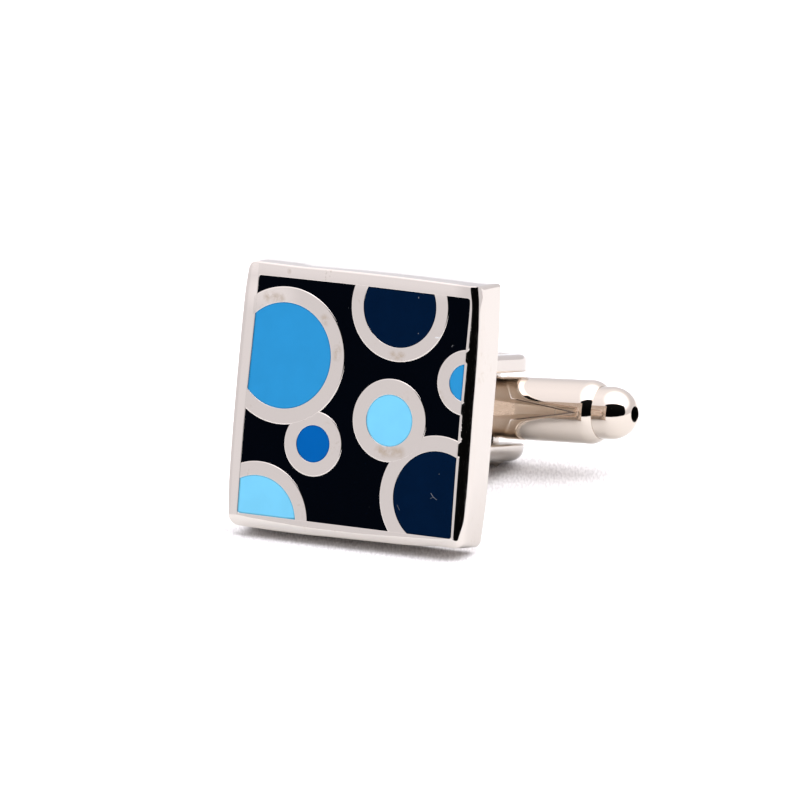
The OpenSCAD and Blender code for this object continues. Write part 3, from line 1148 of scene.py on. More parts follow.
    def flat_run(self, inner: Array, out: Array, width: Array) -> Array:
        """Length of the flat on each line from the cell's edge outwards: the first of many points on
        the line that lies past a fence. The right fence is a little ragged.

        Args:
            inner: points on the cell's edge.
            out: directions of the lines.
            width: lengths of the lines.

        Returns:
            The flats' lengths.
        """
        share = np.linspace(0, 1, 400)[:, None]
        points = inner + out * (width * share)[..., None]
        kept = np.ones(points.shape[:-1], bool)
        ripple = soft_noise(800, 90, 7, wrap=False)
        for k, (wear, across, place) in enumerate(self.by_side(points)):
            fence = eased(wear.fence, place)
            if k == RIGHT:
                rough = np.interp(place, np.linspace(-self.half, self.half, len(ripple)), ripple)
                rough *= self.ragged + self.torn * np.exp(-(((place - self.torn_at) / self.torn_long) ** 2))
                fence = (fence + rough) * (1 - self.bare(place)) + self.fence_edge * self.bare(place)
            kept &= across < fence
        return width * share[np.argmin(kept, axis=0), 0]

    def shell(self) -> Skin:
        """The plate: P(u, v) with v round the loop and u from the cell floor's middle over the fence,
        the worn rim and the side wall, leaning out by 1 - (1 - t)^draft_curve of its draft at share
        t of its depth, to the middle of the back.

        Returns:
            The plate's closed skin, without its rings.
        """
        outer = self.spread(self.loop(self.half, self.corners, self.bow),
                            lambda wear, place: eased(wear.lift, place))
        inner = self.cell_loop(0.0)
        lean = self.spread(outer, lambda wear, place: eased(wear.draft, place)) - outer
        out = outer - inner
        width = np.linalg.norm(out, axis=1)
        out /= width[:, None]
        flat = np.maximum(self.flat_run(inner, out, width), self.fence_edge + self.least_flat)
        rows = [(inner * 0, self.depth), (inner, self.depth)]
        rows += [(inner + out * self.fence_edge * (1 - math.cos(a)), self.fence_edge * (1 - math.sin(a)))
                 for a in np.linspace(0, np.pi / 2, 5)]
        rows += [(inner + out * (self.fence_edge + self.flush), 0.0),
                 (inner + out * (flat - self.flush)[:, None], 0.0), (inner + out * flat[:, None], 0.0)]
        worn = np.minimum(flat + self.bevel, width - 0.01)
        for q in np.sin(np.linspace(0, np.pi / 2, 32)):
            at = inner + out * (worn + (width - worn) * q)[:, None]
            rows.append((at, self.level(at)))
        rim = rows[-1][1]
        deep = self.thick - self.back_edge - 2 * HOLD
        for t in (0.02, 0.1, 0.2, 0.35, 0.5, 0.7, 0.85, 1.0):
            rows.append((outer + lean * (1 - (1 - t) ** self.draft_curve), rim + (deep - rim) * t))
        back = rounded_path([(0, 1.0), (0, self.thick), (self.half, self.thick)],
                            [0, self.back_edge, 0])
        rows += [(outer + lean - out * inset, y) for inset, y in back[1:-1]]
        rows.append((outer * 0, self.thick))
        return Skin.from_grid(layers(rows), wrap_v=True)

    def ring(self, cell: Cell, sunk: float) -> Skin:
        """A ring: its section, rounded at both top edges, carried along the arc inside the border.

        P(r, a) = centre + r (cos a, sin a), with a between the two angles where the circle of
        radius r crosses the border, or all the way round.

        Args:
            cell: the ringed circle.
            sunk: depth of the ring's top, a hair, so that crossing rings don't share a plane.

        Returns:
            The ring's closed skin.
        """
        section = rounded_path(
            [(cell.radius, self.depth), (cell.radius, sunk), (cell.outer, sunk),
             (cell.outer, self.depth)],
            [0, self.fence_edge, self.edge, 0], closed=True, steps=4,
        )
        radius = section[:, 0]
        angle = full_turn(14400)
        x, z = cell.x + radius[:, None] * np.cos(angle), cell.z + radius[:, None] * np.sin(angle)
        limit = self.cell + self.edge
        inside = x < self.cell + self.sides[RIGHT].edge(z) + 0.01
        inside &= (x > -limit) & (np.abs(z) < limit)
        whole = bool(inside.all())
        begin = angle[np.argmax(inside & ~np.roll(inside, 1, axis=1), axis=1)]
        span = inside.sum(1) * (angle[1] - angle[0])
        if whole:
            begin, span = begin * 0, span * 0 + 2 * np.pi
        share = np.linspace(0, 1, 240, endpoint=not whole)[:, None]
        a = begin + span * share
        x, z = cell.x + radius * np.cos(a), cell.z + radius * np.sin(a)
        grid = spots(x, section[:, 1], z)
        return Skin.from_grid(grid if whole else capped(grid), wrap_u=whole, wrap_v=True)

    def reach(self, cell: Cell, pole: Array, ray: Array, inset: float) -> Array:
        """Distance from a pole inside a cell along each ray to the circle or the border, whichever is
        nearer, when both lie inset further in.

        Args:
            cell: the ringed circle.
            pole: a point (x, z) inside it.
            ray: directions, shaped (n, 2).
            inset: how far further in both lie.

        Returns:
            The distances.
        """
        radius, half = cell.radius + self.tuck - inset, self.cell + self.fence_edge / 2 - inset
        off = pole - [cell.x, cell.z]
        b = ray @ off
        to_circle = -b + np.sqrt(b**2 - off @ off + radius**2)
        hit = np.broadcast_to(pole, ray.shape)
        for _ in range(3):
            out = [half + wear.edge(hit[:, 1 - axis]) for wear, axis in zip(self.sides, SIDE_AXES)]
            limit = np.stack([np.where(ray[:, 0] > 0, out[RIGHT], -out[LEFT]),
                              np.where(ray[:, 1] > 0, out[TOP], -out[BOTTOM])], axis=1)
            hit = pole + ray * np.minimum(to_circle, ((limit - pole) / ray).min(1))[:, None]
        return np.linalg.norm(hit - pole, axis=1)

    def fill(self, cell: Cell) -> Skin:
        """Enamel of a circle: P(q, a) = pole + q R(a) (cos a, sin a), where R(a) is the reach from a
        pole inside the cell to its edge, with one more row a little inside the edge.

        Args:
            cell: the ringed circle.

        Returns:
            The fill's closed skin.
        """
        limit = self.cell - self.pole_inside
        pole = np.clip([cell.x, cell.z], -limit, limit)
        a = full_turn(720)
        ray = np.stack([np.cos(a), np.sin(a)], axis=1)
        ray = np.where(np.abs(ray) < 1e-9, 1e-9, ray)
        full, near = (self.reach(cell, pole, ray, inset) for inset in (0.0, self.inner_row))
        rows = [(full * 0, self.low), (near * 0.9, self.low), (near, self.low), (full, self.low),
                (full, self.depth), (full * 0, self.depth)]
        return Skin.from_grid(layers([(pole + long[:, None] * ray, y) for long, y in rows]), wrap_v=True)

    def rim(self, cell: Cell, points: Array) -> Array:
        """Share of the dark line along the metal at points of a fill.

        Args:
            cell: the ringed circle.
            points: points of its fill.

        Returns:
            Shares between 0 and 1.
        """
        flat = points[:, [0, 2]]
        inside = np.minimum(cell.radius - cell.away(flat), self.inward(flat))
        return np.clip(1 - inside / self.dark_line, 0, 1)

    def ground(self) -> Skin:
        """The black fill: the cell square less the ringed circles, cut into triangles, front and back,
        with a wall along each of its edges.

        Returns:
            The fill's closed skin.
        """
        square = self.cell_loop(self.fence_edge / 2)[::4]
        a = full_turn(self.ground_steps)
        round_one = np.stack([np.cos(a), np.sin(a)], axis=1)
        loops = [square] + [np.array([c.x, c.z]) + (c.outer - self.tuck) * round_one for c in self.cells]
        starts = np.cumsum([0] + [len(points) for points in loops])
        rounds = [np.arange(first, last) for first, last in zip(starts, starts[1:])]
        edges = np.vstack([np.stack([ids, np.roll(ids, -1)], axis=1) for ids in rounds]).tolist()
        flat, _, faces, *_ = delaunay_2d_cdt([Vector(p) for p in np.vstack(loops)], edges, [], 0, 1e-6)
        flat, faces = np.array([tuple(p) for p in flat]), np.array([list(f) for f in faces])
        middle = flat[faces].mean(1)
        keep = self.inward(middle) > -self.fence_edge / 2 - 0.002
        for c in self.cells:
            keep &= c.away(middle) > (c.outer - self.tuck) * math.cos(math.pi / self.ground_steps)
        used, faces = np.unique(faces[keep], return_inverse=True)
        flat, faces = flat[used], faces.reshape(-1, 3)
        sides = np.vstack([faces[:, [0, 1]], faces[:, [1, 2]], faces[:, [2, 0]]])
        code = sides[:, 0] * len(flat) + sides[:, 1]
        twin = sides[:, 1] * len(flat) + sides[:, 0]
        rim = sides[~np.isin(code, twin)]
        points = layers([(flat, self.ground_low), (flat, self.depth)]).reshape(-1, 3)
        back = faces[:, ::-1] + len(flat)
        walls = np.stack([rim[:, 1], rim[:, 0], rim[:, 0] + len(flat), rim[:, 1] + len(flat)], axis=1)
        return Skin(points, walls, np.vstack([faces, back])).outward()

    def build(self, shop: Workshop) -> None:
        """Makes and dresses the plate and all fills.

        Args:
            shop: makes and dresses the pieces.
        """
        metal = self.shell()
        for i, cell in enumerate(self.cells):
            metal = metal + self.ring(cell, self.sink * (i + 1))
        shop.piece("struck_face", metal, self.seat, Palette.face, Body.FACE, "face_plate",
                   (Palette.back, lambda middles: middles[:, 1] > self.thick - 0.005))
        shop.piece("fill_ground", self.ground(), self.seat, Palette.black, Body.FACE, "enamel_black")
        for cell in self.cells:
            skin = self.fill(cell)
            made = shop.piece(f"fill_{cell.name}", skin, self.seat, cell.finish, Body.FACE,
                              f"enamel_{cell.name}")
            rim = made.data.attributes.new("rim", "FLOAT", "POINT")
            rim.data.foreach_set("value", self.rim(cell, skin.points).astype(np.float32))


@dataclass
class Post:
    """Forked post on its foot, the solder round the foot, and the riveted pin.

    heads has for the pin's upper and lower head its height, how much the beating takes off it, and
    its share of the head's radius. solder_wave is how much the solder's width and height vary.
    """

    seat: Seat
    reach: float = 14.9
    width: float = 4.35
    height: float = 6.5
    slot: float = 4.35
    floor: float = -10.35
    edge: float = 0.4
    lower_edge: float = 0.85
    inner_edge: float = 0.12
    foot: float = 4.007
    foot_thick: float = 0.7
    concave: float = 0.3
    taper: float = 7.0
    fillet: float = 0.35
    pin: float = 0.65
    head: float = 1.15
    heads: tuple[Triple, Triple] = ((0.08, 0.2, 1.0), (0.42, 0.85, 0.85))
    foot_edges: tuple[float, float] = (0.03, 0.22)
    solder_wave: tuple[float, float] = (0.1, 0.08)

    def section(self, spread: float) -> Array:
        """Section of the shank, a rectangle with rounded edges.

        Args:
            spread: how far the outline is moved out.

        Returns:
            Points (x, z) round the section.
        """
        w, h = self.width / 2 + spread, self.height / 2 + spread
        corners = [(w, -h), (w, h), (-w, h), (-w, -h)]
        return rounded_path(corners, [self.edge + spread] * 4, closed=True, steps=12)

    def shank(self) -> Skin:
        """The solid part: P(u, v) = section v at height u, spread into a concave fillet at the foot.

        Returns:
            The closed skin.
        """
        base, rise = -self.reach + self.foot_thick, self.concave
        levels = [(base - 0.1, rise)]
        levels += [(base + rise * (1 - math.cos(a)), rise * (1 - math.sin(a)))
                   for a in np.linspace(0, np.pi / 2, 8)]
        levels += [(base + rise + HOLD, 0.0), (self.floor, 0.0)]
        return Skin.from_grid(capped(layers([(self.section(spread), y) for y, spread in levels])),
                              wrap_v=True)

    def ear(self, edge: float) -> Skin:
        """Upper ear: its outline, straight sides and a half circle about the pin, at the inset d and
        height z of a profile that runs from the inner face's middle to the outer face's.

        Args:
            edge: rounding of the outer edge at the pin. At the slot's floor it is the shank's.

        Returns:
            The ear's closed skin.
        """
        w, low, high = self.width / 2, self.slot / 2, self.height / 2
        first, last = (
            rounded_path([(w, low), (0, low), (0, high), (w, high)],
                         [0, self.inner_edge, radius, 0], steps=12)[..., None]
            for radius in (self.edge, edge)
        )
        up, arc = np.linspace(self.floor, 0, 24, endpoint=False), np.linspace(0, np.pi, 65)
        dx = np.concatenate([up * 0 + 1, np.cos(arc), up * 0 - 1])
        dy = np.concatenate([up * 0, np.sin(arc), up * 0])
        y0 = np.concatenate([up, arc * 0, up[::-1]])
        share = np.clip((y0 - self.floor) / self.taper, 0, 1) ** 2
        profile = first + (last - first) * share
        size = w - profile[:, 0]
        grid = spots(size * dx, y0 + size * dy, profile[:, 1])
        cap = np.broadcast_to([0.0, self.floor, (low + high) / 2], grid[:, :1].shape)
        return Skin.from_grid(np.concatenate([cap, grid, cap], axis=1))

    def forked(self) -> Skin:
        """Foot, shank and both ears.

        Returns:
            The skin of all three.
        """
        top = -self.reach + self.foot_thick
        foot = rounded_path([(-self.reach, 0), (-self.reach, self.foot), (top, self.foot), (top, 0)],
                            [0, *self.foot_edges, 0])
        return (turned(foot, Axis.Y) + self.shank() + self.ear(self.edge)
                + self.ear(self.lower_edge).mirrored(Axis.Z))

    def seam(self) -> Skin:
        """Solder: a concave ring, P(i, a) = foot radius plus a profile whose width swells with a.

        Returns:
            The closed skin.
        """
        a = np.linspace(0, np.pi / 2, 9)
        out = np.concatenate([[0.0, 1.0], 1 - np.sin(a[1:])])
        up = np.concatenate([[0.0, 0.0], 1 - np.cos(a[1:])])
        turn = full_turn(160)
        wide, tall = self.solder_wave
        swell = 1 - wide + wide * soft_noise(len(turn), 9, 3)
        radius = self.foot - 0.002 + self.fillet * out[:, None] * swell
        y = -self.reach + self.fillet * up[:, None] * (1 - tall + tall * soft_noise(len(turn), 7, 5))
        return Skin.from_grid(spots(radius * np.cos(turn), y, radius * np.sin(turn)), True, True)

    def riveted(self) -> Skin:
        """Pin: P(i, a) turned round Z. The upper head is set nearly flush. The lower one is a dome
        with a ring-shaped swell, beaten into a few bumps by a slow random wave.

        Returns:
            The closed skin.
        """
        q = np.array([1.0, 0.985, 0.95, 0.9, 0.82, 0.72, 0.62, 0.52, 0.42, 0.3, 0.2, 0.1, 0.0])
        dome = np.sqrt(np.clip(1 - q**2, 0, 1)) ** 0.8
        swell = 0.55 * dome + 0.45 * np.exp(-(((q - 0.6) / 0.2) ** 2))
        a = full_turn(128)
        beaten = (q * (1 - q) * 4)[:, None] * (0.5 + 0.5 * soft_noise(len(a), 9, 11))
        shape = swell[:, None] / swell.max()
        under = self.height / 2 - 0.002
        halves = []
        for high, dent, wide in self.heads:
            rise = high * shape * (1 - dent * beaten)
            radius = self.head * wide * q[:, None]
            top = spots(radius * np.cos(a), radius * np.sin(a), self.height / 2 + rise)
            stem = spots(self.pin * np.cos(a), self.pin * np.sin(a), under)[None]
            halves.append(np.concatenate([stem, top[:1] * [1, 1, 0] + [0, 0, under], top]))
        return Skin.from_grid(np.concatenate([halves[0][::-1], halves[1] * [1, 1, -1]]), wrap_v=True)

    def in_slot(self, middles: Array) -> Array:
        """Which faces of the post line its slot and take its painted shade, by their middles."""
        return ((np.abs(middles[:, 2]) < self.slot / 2 + self.inner_edge)
                & (middles[:, 1] > self.floor - 0.005))

    def build(self, shop: Workshop) -> None:
        """Makes and dresses post, solder and pin.

        Args:
            shop: makes and dresses the pieces.
        """
        shop.piece("forked_post", self.forked(), self.seat, Palette.closure, Body.FACE, "post",
                   # Painted shade on the slot's lining.
                   (Palette.slot_shade, self.in_slot))
        shop.piece("solder_seam", self.seam(), self.seat, Palette.solder, Body.FACE, "solder_fillet")
        shop.piece("riveted_pin", self.riveted(), self.seat, Palette.rivet, Body.FACE, "pivot_pin")


@dataclass
class Toggle:
    """Swivelling bar: core, two fish-mouth sleeves, two domed caps, plunger and spring."""

    seat: Seat
    core: float = 1.85
    core_end: float = 5.5
    flat_half: float = 0.47
    flat_taper: float = 4.15
    flat_soft: float = 0.03
    waist: float = 1.3
    mouth: float = 1.0
    mouth_radius: float = 1.9
    shoulder_radius: float = 1.95
    sleeve_end: float = 7.8
    lip: float = 0.4
    shoulder: float = 1.12
    dome: float = 1.6
    tip: float = 10.05
    hole: float = 0.48
    hole_deep: float = 1.2
    notch_tip: float = 6.6
    notch_half: float = 0.85
    prong_round: float = 1.05
    prong_share: float = 0.25
    steepest: float = 7.0
    curl: float = 0.02
    curl_high: float = 0.4
    bevel: float = 0.09
    crowding: float = 1.6
    fit: float = 0.003
    bore: float = 0.68
    plunger_bore: float = 0.75
    plunger: float = 0.72
    nose: float = 0.67
    plunger_head: float = 1.25
    tail: float = 0.3
    tail_long: float = 1.1
    wire: float = 0.11
    coil: float = 0.61
    turns: float = 4.5

    def bar(self) -> Skin:
        """Core: P(x, a) = (x, core cos a, core sin a), with its y cut off softly at a flat on each
        side, whose half height shrinks evenly from the waist to the ends.

        Returns:
            The closed skin, without its bores.
        """
        a = full_turn(192)
        end = self.core_end - self.fit
        x = rounded_path([(-end, 0), (-end, self.core), (end, self.core), (end, 0)],
                         [0, 0.015, 0.015, 0], steps=4)
        inner = np.linspace(-self.core_end + 0.2, self.core_end - 0.2, 120)
        half = len(x) // 2
        x = np.vstack([x[:half], np.stack([inner, inner * 0 + self.core], axis=1), x[half:]])
        face = self.flat_half * np.clip(1 - (np.abs(x[:, 0]) - self.waist) / self.flat_taper, 0, 1)
        limit = np.sqrt(np.clip(x[:, 1:] ** 2 - face[:, None] ** 2, 0, None))
        y = x[:, 1:] * np.cos(a)
        over = np.abs(y) - limit
        y = np.sign(y) * (np.abs(y) - 0.5 * (over + np.sqrt(over**2 + self.flat_soft**2)))
        return Skin.from_grid(spots(x[:, :1], y, x[:, 1:] * np.sin(a)), wrap_v=True)

    def notch(self, z: Array) -> tuple[Array, Array]:
        """Where the sleeve begins at height z on its side, and how slanted its edge is there.

        The notch's half width at share t of its length is
        notch_half (1 - t) + prong_round max(0, 1 - (t / prong_share)²).

        Args:
            z: heights, in millimetres.

        Returns:
            The x of the edge, and the stretch from a distance square to the edge to one along X.
        """
        t = np.linspace(0, 1, 4001)
        prong = np.maximum(0, 1 - (t / self.prong_share) ** 2)
        width = (self.notch_half * (1 - t) + self.prong_round * prong)[::-1]
        height, step, long = np.sqrt(z**2 + 0.03**2), 0.01, self.notch_tip - self.mouth
        share, after, before = (np.interp(h, width, t[::-1]) for h in
                                (height, height + step, np.maximum(height - step, 0)))
        slope = (after - before) / (2 * step) * long
        return self.mouth + long * share, np.minimum(np.sqrt(1 + slope**2), self.steepest)

    def sleeve(self) -> Skin:
        """Right sleeve: P(i, a), a closed section carried round the toggle.

        The section runs from the bore over the rounded mouth edge, along the flared outside, over
        the shoulder and round the lip back into the bore. Its mouth end lies on the notch's edge.
        The angles crowd together towards the notch's tip, where the edge is steepest.

        Returns:
            The closed skin.
        """
        share = np.linspace(-1, 1, 120, endpoint=False)
        half = np.sign(share) * np.abs(share) ** self.crowding * (np.pi / 2)
        a = np.concatenate([half, np.pi + half])
        bore, lip = self.core + self.fit, self.dome + self.fit
        flare = self.shoulder_radius - self.mouth_radius
        length = self.sleeve_end - self.mouth
        start, stretch = self.notch(np.abs(np.sin(a)) * self.mouth_radius)
        wall = self.mouth_radius + flare * (start - self.mouth) / length - bore
        rows = []
        for angle in np.linspace(-np.pi / 2, np.pi / 2, 9):
            rise = 0.5 + 0.5 * math.sin(angle)
            rows.append((start + stretch * self.curl * (1 - math.cos(angle)),
                         bore + wall * self.curl_high * rise))
        for share in (0.2, 0.4, 0.6, 0.8, 1.0):
            x = np.minimum(start + stretch * (self.curl + self.bevel * share), self.sleeve_end - 0.5)
            rows.append((x, self.mouth_radius + flare * (x - self.mouth) / length
                         - (1 - self.curl_high) * wall * (1 - share) ** 2))
        last = rows[-1][0]
        turn = math.acos(1 - (self.shoulder_radius - lip - 0.02) / self.shoulder)
        bend = self.sleeve_end - self.shoulder * math.sin(turn)
        for share in np.linspace(0, 1, 12)[1:]:
            x = last + (bend - HOLD - last) * share
            along = np.minimum((x - self.mouth) / (bend - self.mouth), 1)
            rows.append((x, self.mouth_radius + flare * along))
        rows += [(bend + self.shoulder * math.sin(angle),
                  self.shoulder_radius - self.shoulder * (1 - math.cos(angle)))
                 for angle in np.linspace(0, turn, 16)]
        rows += [(self.sleeve_end, lip + 0.005), (self.sleeve_end - 0.01, lip),
                 (self.sleeve_end - self.lip, lip), (self.sleeve_end - self.lip, bore),
                 (self.sleeve_end - 0.8, bore)]
        return Skin.from_grid(np.stack([spots(x, r * np.cos(a), r * np.sin(a)) for x, r in rows]),
                              wrap_u=True, wrap_v=True)

    def cap(self) -> Skin:
        """Right cap: flange, short neck, half-round dome and the drilled hole in its tip.

        Returns:
            The closed skin.
        """
        centre = self.tip - self.dome
        arc = np.linspace(np.pi / 2, math.asin((self.hole + 0.06) / self.dome), 48)
        dome = np.stack([centre + self.dome * np.cos(arc), self.dome * np.sin(arc)], axis=1)
        step, base = self.sleeve_end - self.lip - self.fit, self.core_end + self.fit
        flange = rounded_path(
            [(base, 0), (base, self.core), (step, self.core), (step, self.dome),
             (centre - 0.02, self.dome)],
            [0, 0.015, 0.03, 0.03, 0], steps=4,
        )
        deep = self.tip - self.hole_deep
        drilled = rounded_path(
            [tuple(dome[-1]), (dome[-1][0] + 0.03, self.hole), (deep, self.hole), (deep - 0.27, 0)],
            [0, 0.02, 0.02, 0], steps=4,
        )
        return turned(np.vstack([flange, dome, drilled[1:]]), Axis.X, 160)

    def in_notch(self, middles: Array) -> Array:
        """Which faces of a sleeve line the narrow part of its notch and take its painted shade.

        Args:
            middles: middles of the faces.

        Returns:
            True for each such face.
        """
        x = np.abs(middles[:, 0])
        outside = self.mouth_radius + (self.shoulder_radius - self.mouth_radius) * (
            x - self.mouth) / (self.sleeve_end - self.mouth)
        return ((np.hypot(middles[:, 1], middles[:, 2]) < outside - 0.008) & (x > self.mouth + 1.7)
                & (x < self.notch_tip + 0.3))

    def in_hole(self, middles: Array) -> Array:
        """Which faces of a cap line its hole and take its painted shade, by their middles."""
        return ((np.hypot(middles[:, 1], middles[:, 2]) < self.hole + 0.005)
                & (np.abs(middles[:, 0]) > self.tip - self.hole_deep - 0.3))

    def pin_bored(self, shop: Workshop) -> None:
        """The core with the pin's and the plunger's bores cut by a difference.

        Args:
            shop: makes and dresses the piece.
        """
        core = shop.piece("swivel_core", self.bar(), self.seat, Palette.toggle, Body.TOGGLE,
                          "toggle_core")
        for low, high, radius, axis in ((-3.0, 3.0, self.bore, Axis.Z),
                                        (0.0, 6.0, self.plunger_bore, Axis.X)):
            drill = turned(np.array([(low, 0), (low, radius), (high, radius), (high, 0)]), axis, 96)
            cutter = bpy.data.objects.new("cutter", drill.mesh("cutter", self.seat))
            bpy.context.scene.collection.objects.link(cutter)
            cut = core.modifiers.new("bore", "BOOLEAN")
            cut.operation, cut.solver, cut.object = "DIFFERENCE", "EXACT", cutter
            bpy.context.view_layer.update()
            shown = core.evaluated_get(bpy.context.evaluated_depsgraph_get())
            bored = bpy.data.meshes.new_from_object(shown)
            core.modifiers.clear()
            core.data = bored
            bpy.data.objects.remove(cutter)
        core.data.name = core.name
        core.data.set_sharp_from_angle(angle=SHARP)

    def sprung(self) -> tuple[Skin, Skin]:
        """Plunger and coil inside the core's bore.

        The coil is a tube of the wire's radius round (x, coil cos a, coil sin a), with x rising evenly
        over its turns.

        Returns:
            The plunger's skin and the spring's.
        """
        end = self.nose + self.plunger_head
        plunger = rounded_path(
            [(self.nose, 0), (self.nose, self.plunger), (end, self.plunger), (end, self.tail),
             (end + self.tail_long, self.tail), (end + self.tail_long, 0)],
            [0, 0.12, 0.05, 0.03, 0.08, 0], steps=5,
        )
        first, last = end + 0.04 + self.wire, self.core_end - 0.04 - self.wire
        a = np.linspace(0, 2 * np.pi * self.turns, 220)[:, None]
        b = full_turn(16)
        x = first + (last - first) * a / a.max() + self.wire * np.sin(b)
        radius = self.coil + self.wire * np.cos(b)
        coil = capped(spots(x, radius * np.cos(a), radius * np.sin(a)))
        return turned(plunger, Axis.X, 64), Skin.from_grid(coil, wrap_v=True)

    def build(self, shop: Workshop) -> None:
        """Makes and dresses all pieces of the toggle.

        Args:
            shop: makes and dresses the pieces.
        """
        self.pin_bored(shop)
        for side in Side:
            for name, skin, node, second in (
                # Painted shade on the notch's cut edges.
                ("fishmouth_sleeve", self.sleeve(), "sleeve", (Palette.notch_shade, self.in_notch)),
                # Painted shade inside the tip hole.
                ("domed_cap", self.cap(), "cap", (Palette.hole_shade, self.in_hole)),
            ):
                skin = skin.mirrored(Axis.X) if side is Side.LEFT else skin
                shop.piece(f"{name}_{side.value}", skin, self.seat, Palette.toggle, Body.TOGGLE,
                           f"{node}_{side.value}", second)
        plunger, spring = self.sprung()
        for name, skin, finish, node in (
            ("sprung_plunger", plunger, Palette.brass, "friction_plunger"),
            ("coil_spring", spring, Palette.steel, "plunger_spring"),
        ):
            shop.piece(name, skin, self.seat, finish, Body.TOGGLE, node)


@dataclass
class Studio:
    """Camera, floor and light tent.

    The camera's axes are given in the face's drawing frame, and box_aim to the right, to the back
    and up. Pairs of heights, slants and of ways back are where a part of the tent begins and ends.
    """

    seat: Seat
    right: Triple = (0.877, 0.473, 0.084)
    forward: Triple = (-0.468, 0.881, -0.071)
    face_pixel: tuple[float, float] = (352.9, 405.8)
    pixels_per_mm: float = 16.64
    distance: float = 2100.0
    sensor: float = 36.0
    picture: float = 800.0
    wall: float = 0.80
    roof: float = 1.12
    ground: float = 1.1
    box: float = 1.6
    black: float = 0.997
    opening: tuple[float, float] = (1.135, 0.66)
    opening_shift: tuple[float, float] = (0.415, 0.21)
    opening_soft: float = 0.02
    skew: tuple[float, float] = (1.52, 1.56)
    roof_rise: tuple[float, float] = (0.25, 0.85)
    ground_end: tuple[float, float] = (-0.12, 0.0)
    glow: float = 0.1
    glow_slant: tuple[float, float] = (-1.9, -1.62)
    glow_height: tuple[float, float] = (0.3, 0.42)
    glow_back: tuple[float, float] = (0.3, 0.4)
    box_aim: Triple = (0.35, 0.2, 0.9)
    box_angles: tuple[float, float] = (1.0, 0.2)
    daylight: Rgba = (0.985, 0.985, 1.06, 1)
    board: tuple[tuple[float, ...], ...] = ((0.76, 0.735, 0.73, 1), (0.97, 0.945, 0.94, 1))
    board_mirrored: Rgba = (0.60, 0.607, 0.613, 1)
    fibre: Triple = (0.00013, 0.0007, 0.00013)
    lamps: tuple[tuple[str, Triple, float], ...] = (
        ("key", (0.45, 0.75, 0.5), 5.2), ("fill", (-0.6, 0.6, 0.6), 2.6),
        ("rear", (0.1, 0.8, -0.6), 3.4),
    )
    lamp_size: float = 0.9

    def axes(self) -> tuple[Array, Array, Array]:
        """The camera's right, up and back directions on the table, square to each other.

        Returns:
            Three unit vectors.
        """
        back = -self.seat.direction(self.forward)
        right = self.seat.direction(self.right)
        right = unit(right - back * (right @ back))
        return right, np.cross(back, right), back

    def camera(self) -> None:
        """Sets the camera so that the face's middle falls on its pixel of the photograph."""
        right, up, back = self.axes()
        across = (self.picture / 2 - self.face_pixel[0]) / self.pixels_per_mm
        above = (self.face_pixel[1] - self.picture / 2) / self.pixels_per_mm
        spot = self.seat.shift + right * across + up * above + back * self.distance
        data = bpy.data.cameras.new("camera")
        data.sensor_width = self.sensor
        data.lens = self.pixels_per_mm * self.distance * self.sensor / self.picture
        camera = bpy.data.objects.new("camera", data)
        bpy.context.scene.collection.objects.link(camera)
        turn = Matrix(np.stack([right, up, back], axis=1).tolist()).to_4x4()
        camera.matrix_world = Matrix.Translation(Vector(spot / 1000)) @ turn
        bpy.context.scene.camera = camera

    def floor(self) -> None:
        """Pale floor, a wide square of matt board whose fibres lie across the picture."""
        side = np.linspace(-2.0, 2.0, 9)
        grid = spots(side[:, None], side, 0.0)
        ids = np.arange(81).reshape(9, 9)
        faces = np.stack([ids[:-1, :-1], ids[1:, :-1], ids[1:, 1:], ids[:-1, 1:]], axis=-1)
        mesh = bpy.data.meshes.new("floor")
        mesh.from_pydata(grid.reshape(-1, 3).tolist(), [], faces.reshape(-1, 4).tolist())
        floor = bpy.data.objects.new("floor", mesh)
        bpy.context.scene.collection.objects.link(floor)
        material = bpy.data.materials.new("matt_board")
        material.use_nodes = True
        material.node_tree.nodes.clear()
        w = Wiring(material.node_tree)
        across = self.axes()[0]
        place = w.mapped(w.node("ShaderNodeTexCoord").outputs["Object"], {
            "Rotation": (0, 0, math.atan2(across[1], across[0])), "Scale": self.fibre,
        }, "TEXTURE")
        tone = w.blend(w.ramp(w.noise(place, 1.0, 3.0), 0.3, 0.7), *self.board)
        glossy = w.node("ShaderNodeLightPath").outputs["Is Glossy Ray"]
        shader = w.node("ShaderNodeBsdfPrincipled", {
            "Base Color": w.blend(glossy, tone, self.board_mirrored),
            "Roughness": 0.9, "Specular IOR Level": 0.1,
        })
        w.node("ShaderNodeOutputMaterial", {"Surface": shader.outputs["BSDF"]})
        mesh.materials.append(material)

    def lights(self) -> None:
        """Wide soft lamps, by direction (right, up, back) and power, which polished metal doesn't mirror."""
        for name, aim, power in self.lamps:
            data = bpy.data.lights.new(name, "AREA")
            data.size, data.energy = self.lamp_size, power
            lamp = bpy.data.objects.new(name, data)
            bpy.context.scene.collection.objects.link(lamp)
            line = Vector(unit(np.array(aim) @ np.array(self.axes())))
            lamp.matrix_world = (Matrix.Translation(line)
                                 @ line.to_track_quat("Z", "Y").to_matrix().to_4x4())
            lamp.visible_camera = lamp.visible_glossy = False

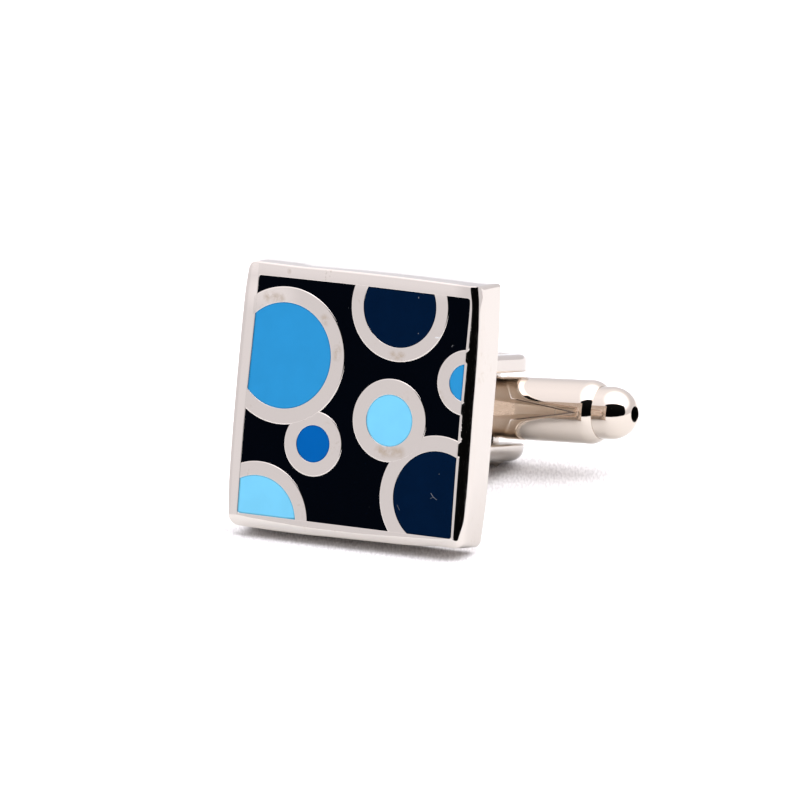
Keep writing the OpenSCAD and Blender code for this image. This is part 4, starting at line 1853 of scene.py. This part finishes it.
    def tent(self) -> None:
        """Light tent: even walls, a brighter roof and a soft lamp box in it, a glow low at the left, and
        the dark opening that the camera looks in by.

        The opening is a rectangle in the tangents of the angles across and above the camera's line
        of sight, with its lower right corner cut off. What the camera sees past the floor is white.
        """
        world = bpy.data.worlds.new("light_tent")
        bpy.context.scene.world = world
        world.use_nodes = True
        world.node_tree.nodes.clear()
        w = Wiring(world.node_tree)
        ray = w.node("ShaderNodeTexCoord").outputs["Generated"]
        right, up, back = (w.dot(ray, Vector(axis)) for axis in self.axes())
        ahead = w.math("MAXIMUM", back, 0.01)
        slants = [w.math("DIVIDE", part, ahead) for part in (right, up)]
        edges = []
        for slant, reach, shift in zip(slants, self.opening, self.opening_shift):
            off = w.math("ABSOLUTE", w.math("SUBTRACT", slant, shift))
            edges.append(w.ramp(off, reach - self.opening_soft, reach + self.opening_soft, 1.0, 0.0))
        edges.append(w.ramp(w.math("SUBTRACT", *slants), *self.skew, 1.0, 0.0))
        lit = w.math("SUBTRACT", 1.0, w.chain("MULTIPLY", *edges, self.black))
        height = w.dot(ray, Vector((0, 0, 1)))
        glow = w.chain("MULTIPLY", w.ramp(slants[0], *self.glow_slant, self.glow, 0.0),
                       w.ramp(height, *self.glow_height, 1.0, 0.0), w.ramp(back, *self.glow_back))
        aim = unit(np.array(self.box_aim) @ [self.axes()[0], self.axes()[2], (0, 0, 1)])
        angles = (math.cos(angle) for angle in self.box_angles)
        lamp_box = w.ramp(w.dot(ray, Vector(aim)), *angles, 0.0, self.box)
        level = w.chain("ADD", w.ramp(height, *self.roof_rise, self.wall, self.roof),
                        w.ramp(height, *self.ground_end, self.ground - self.wall, 0.0), glow, lamp_box)
        inside = w.node("ShaderNodeBackground",
                        {"Color": self.daylight, "Strength": w.math("MULTIPLY", level, lit)})
        white = w.node("ShaderNodeBackground", {"Color": (1, 1, 1, 1)})
        seen = w.node("ShaderNodeLightPath").outputs["Is Camera Ray"]
        mix = w.node("ShaderNodeMixShader", {0: seen, 1: inside.outputs[0], 2: white.outputs[0]})
        w.node("ShaderNodeOutputWorld", {"Surface": mix.outputs[0]})

    def build(self) -> None:
        """Sets up camera, floor, lamps, tent and the plain colour transform."""
        self.camera()
        self.floor()
        self.lights()
        self.tent()
        view = bpy.context.scene.view_settings
        view.view_transform, view.look = "Standard", "None"


def main() -> None:
    """Builds all pieces on the frame and the studio round them."""
    logging.basicConfig(level=logging.INFO, format="%(name)s: %(message)s")
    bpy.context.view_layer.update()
    face_seat, closure_seat = Stance().seats(frame["joints"][0])
    shop = Workshop()
    Face(face_seat).build(shop)
    Post(closure_seat).build(shop)
    Toggle(closure_seat).build(shop)
    Studio(face_seat).build()


if __name__ == "__main__":
    main()
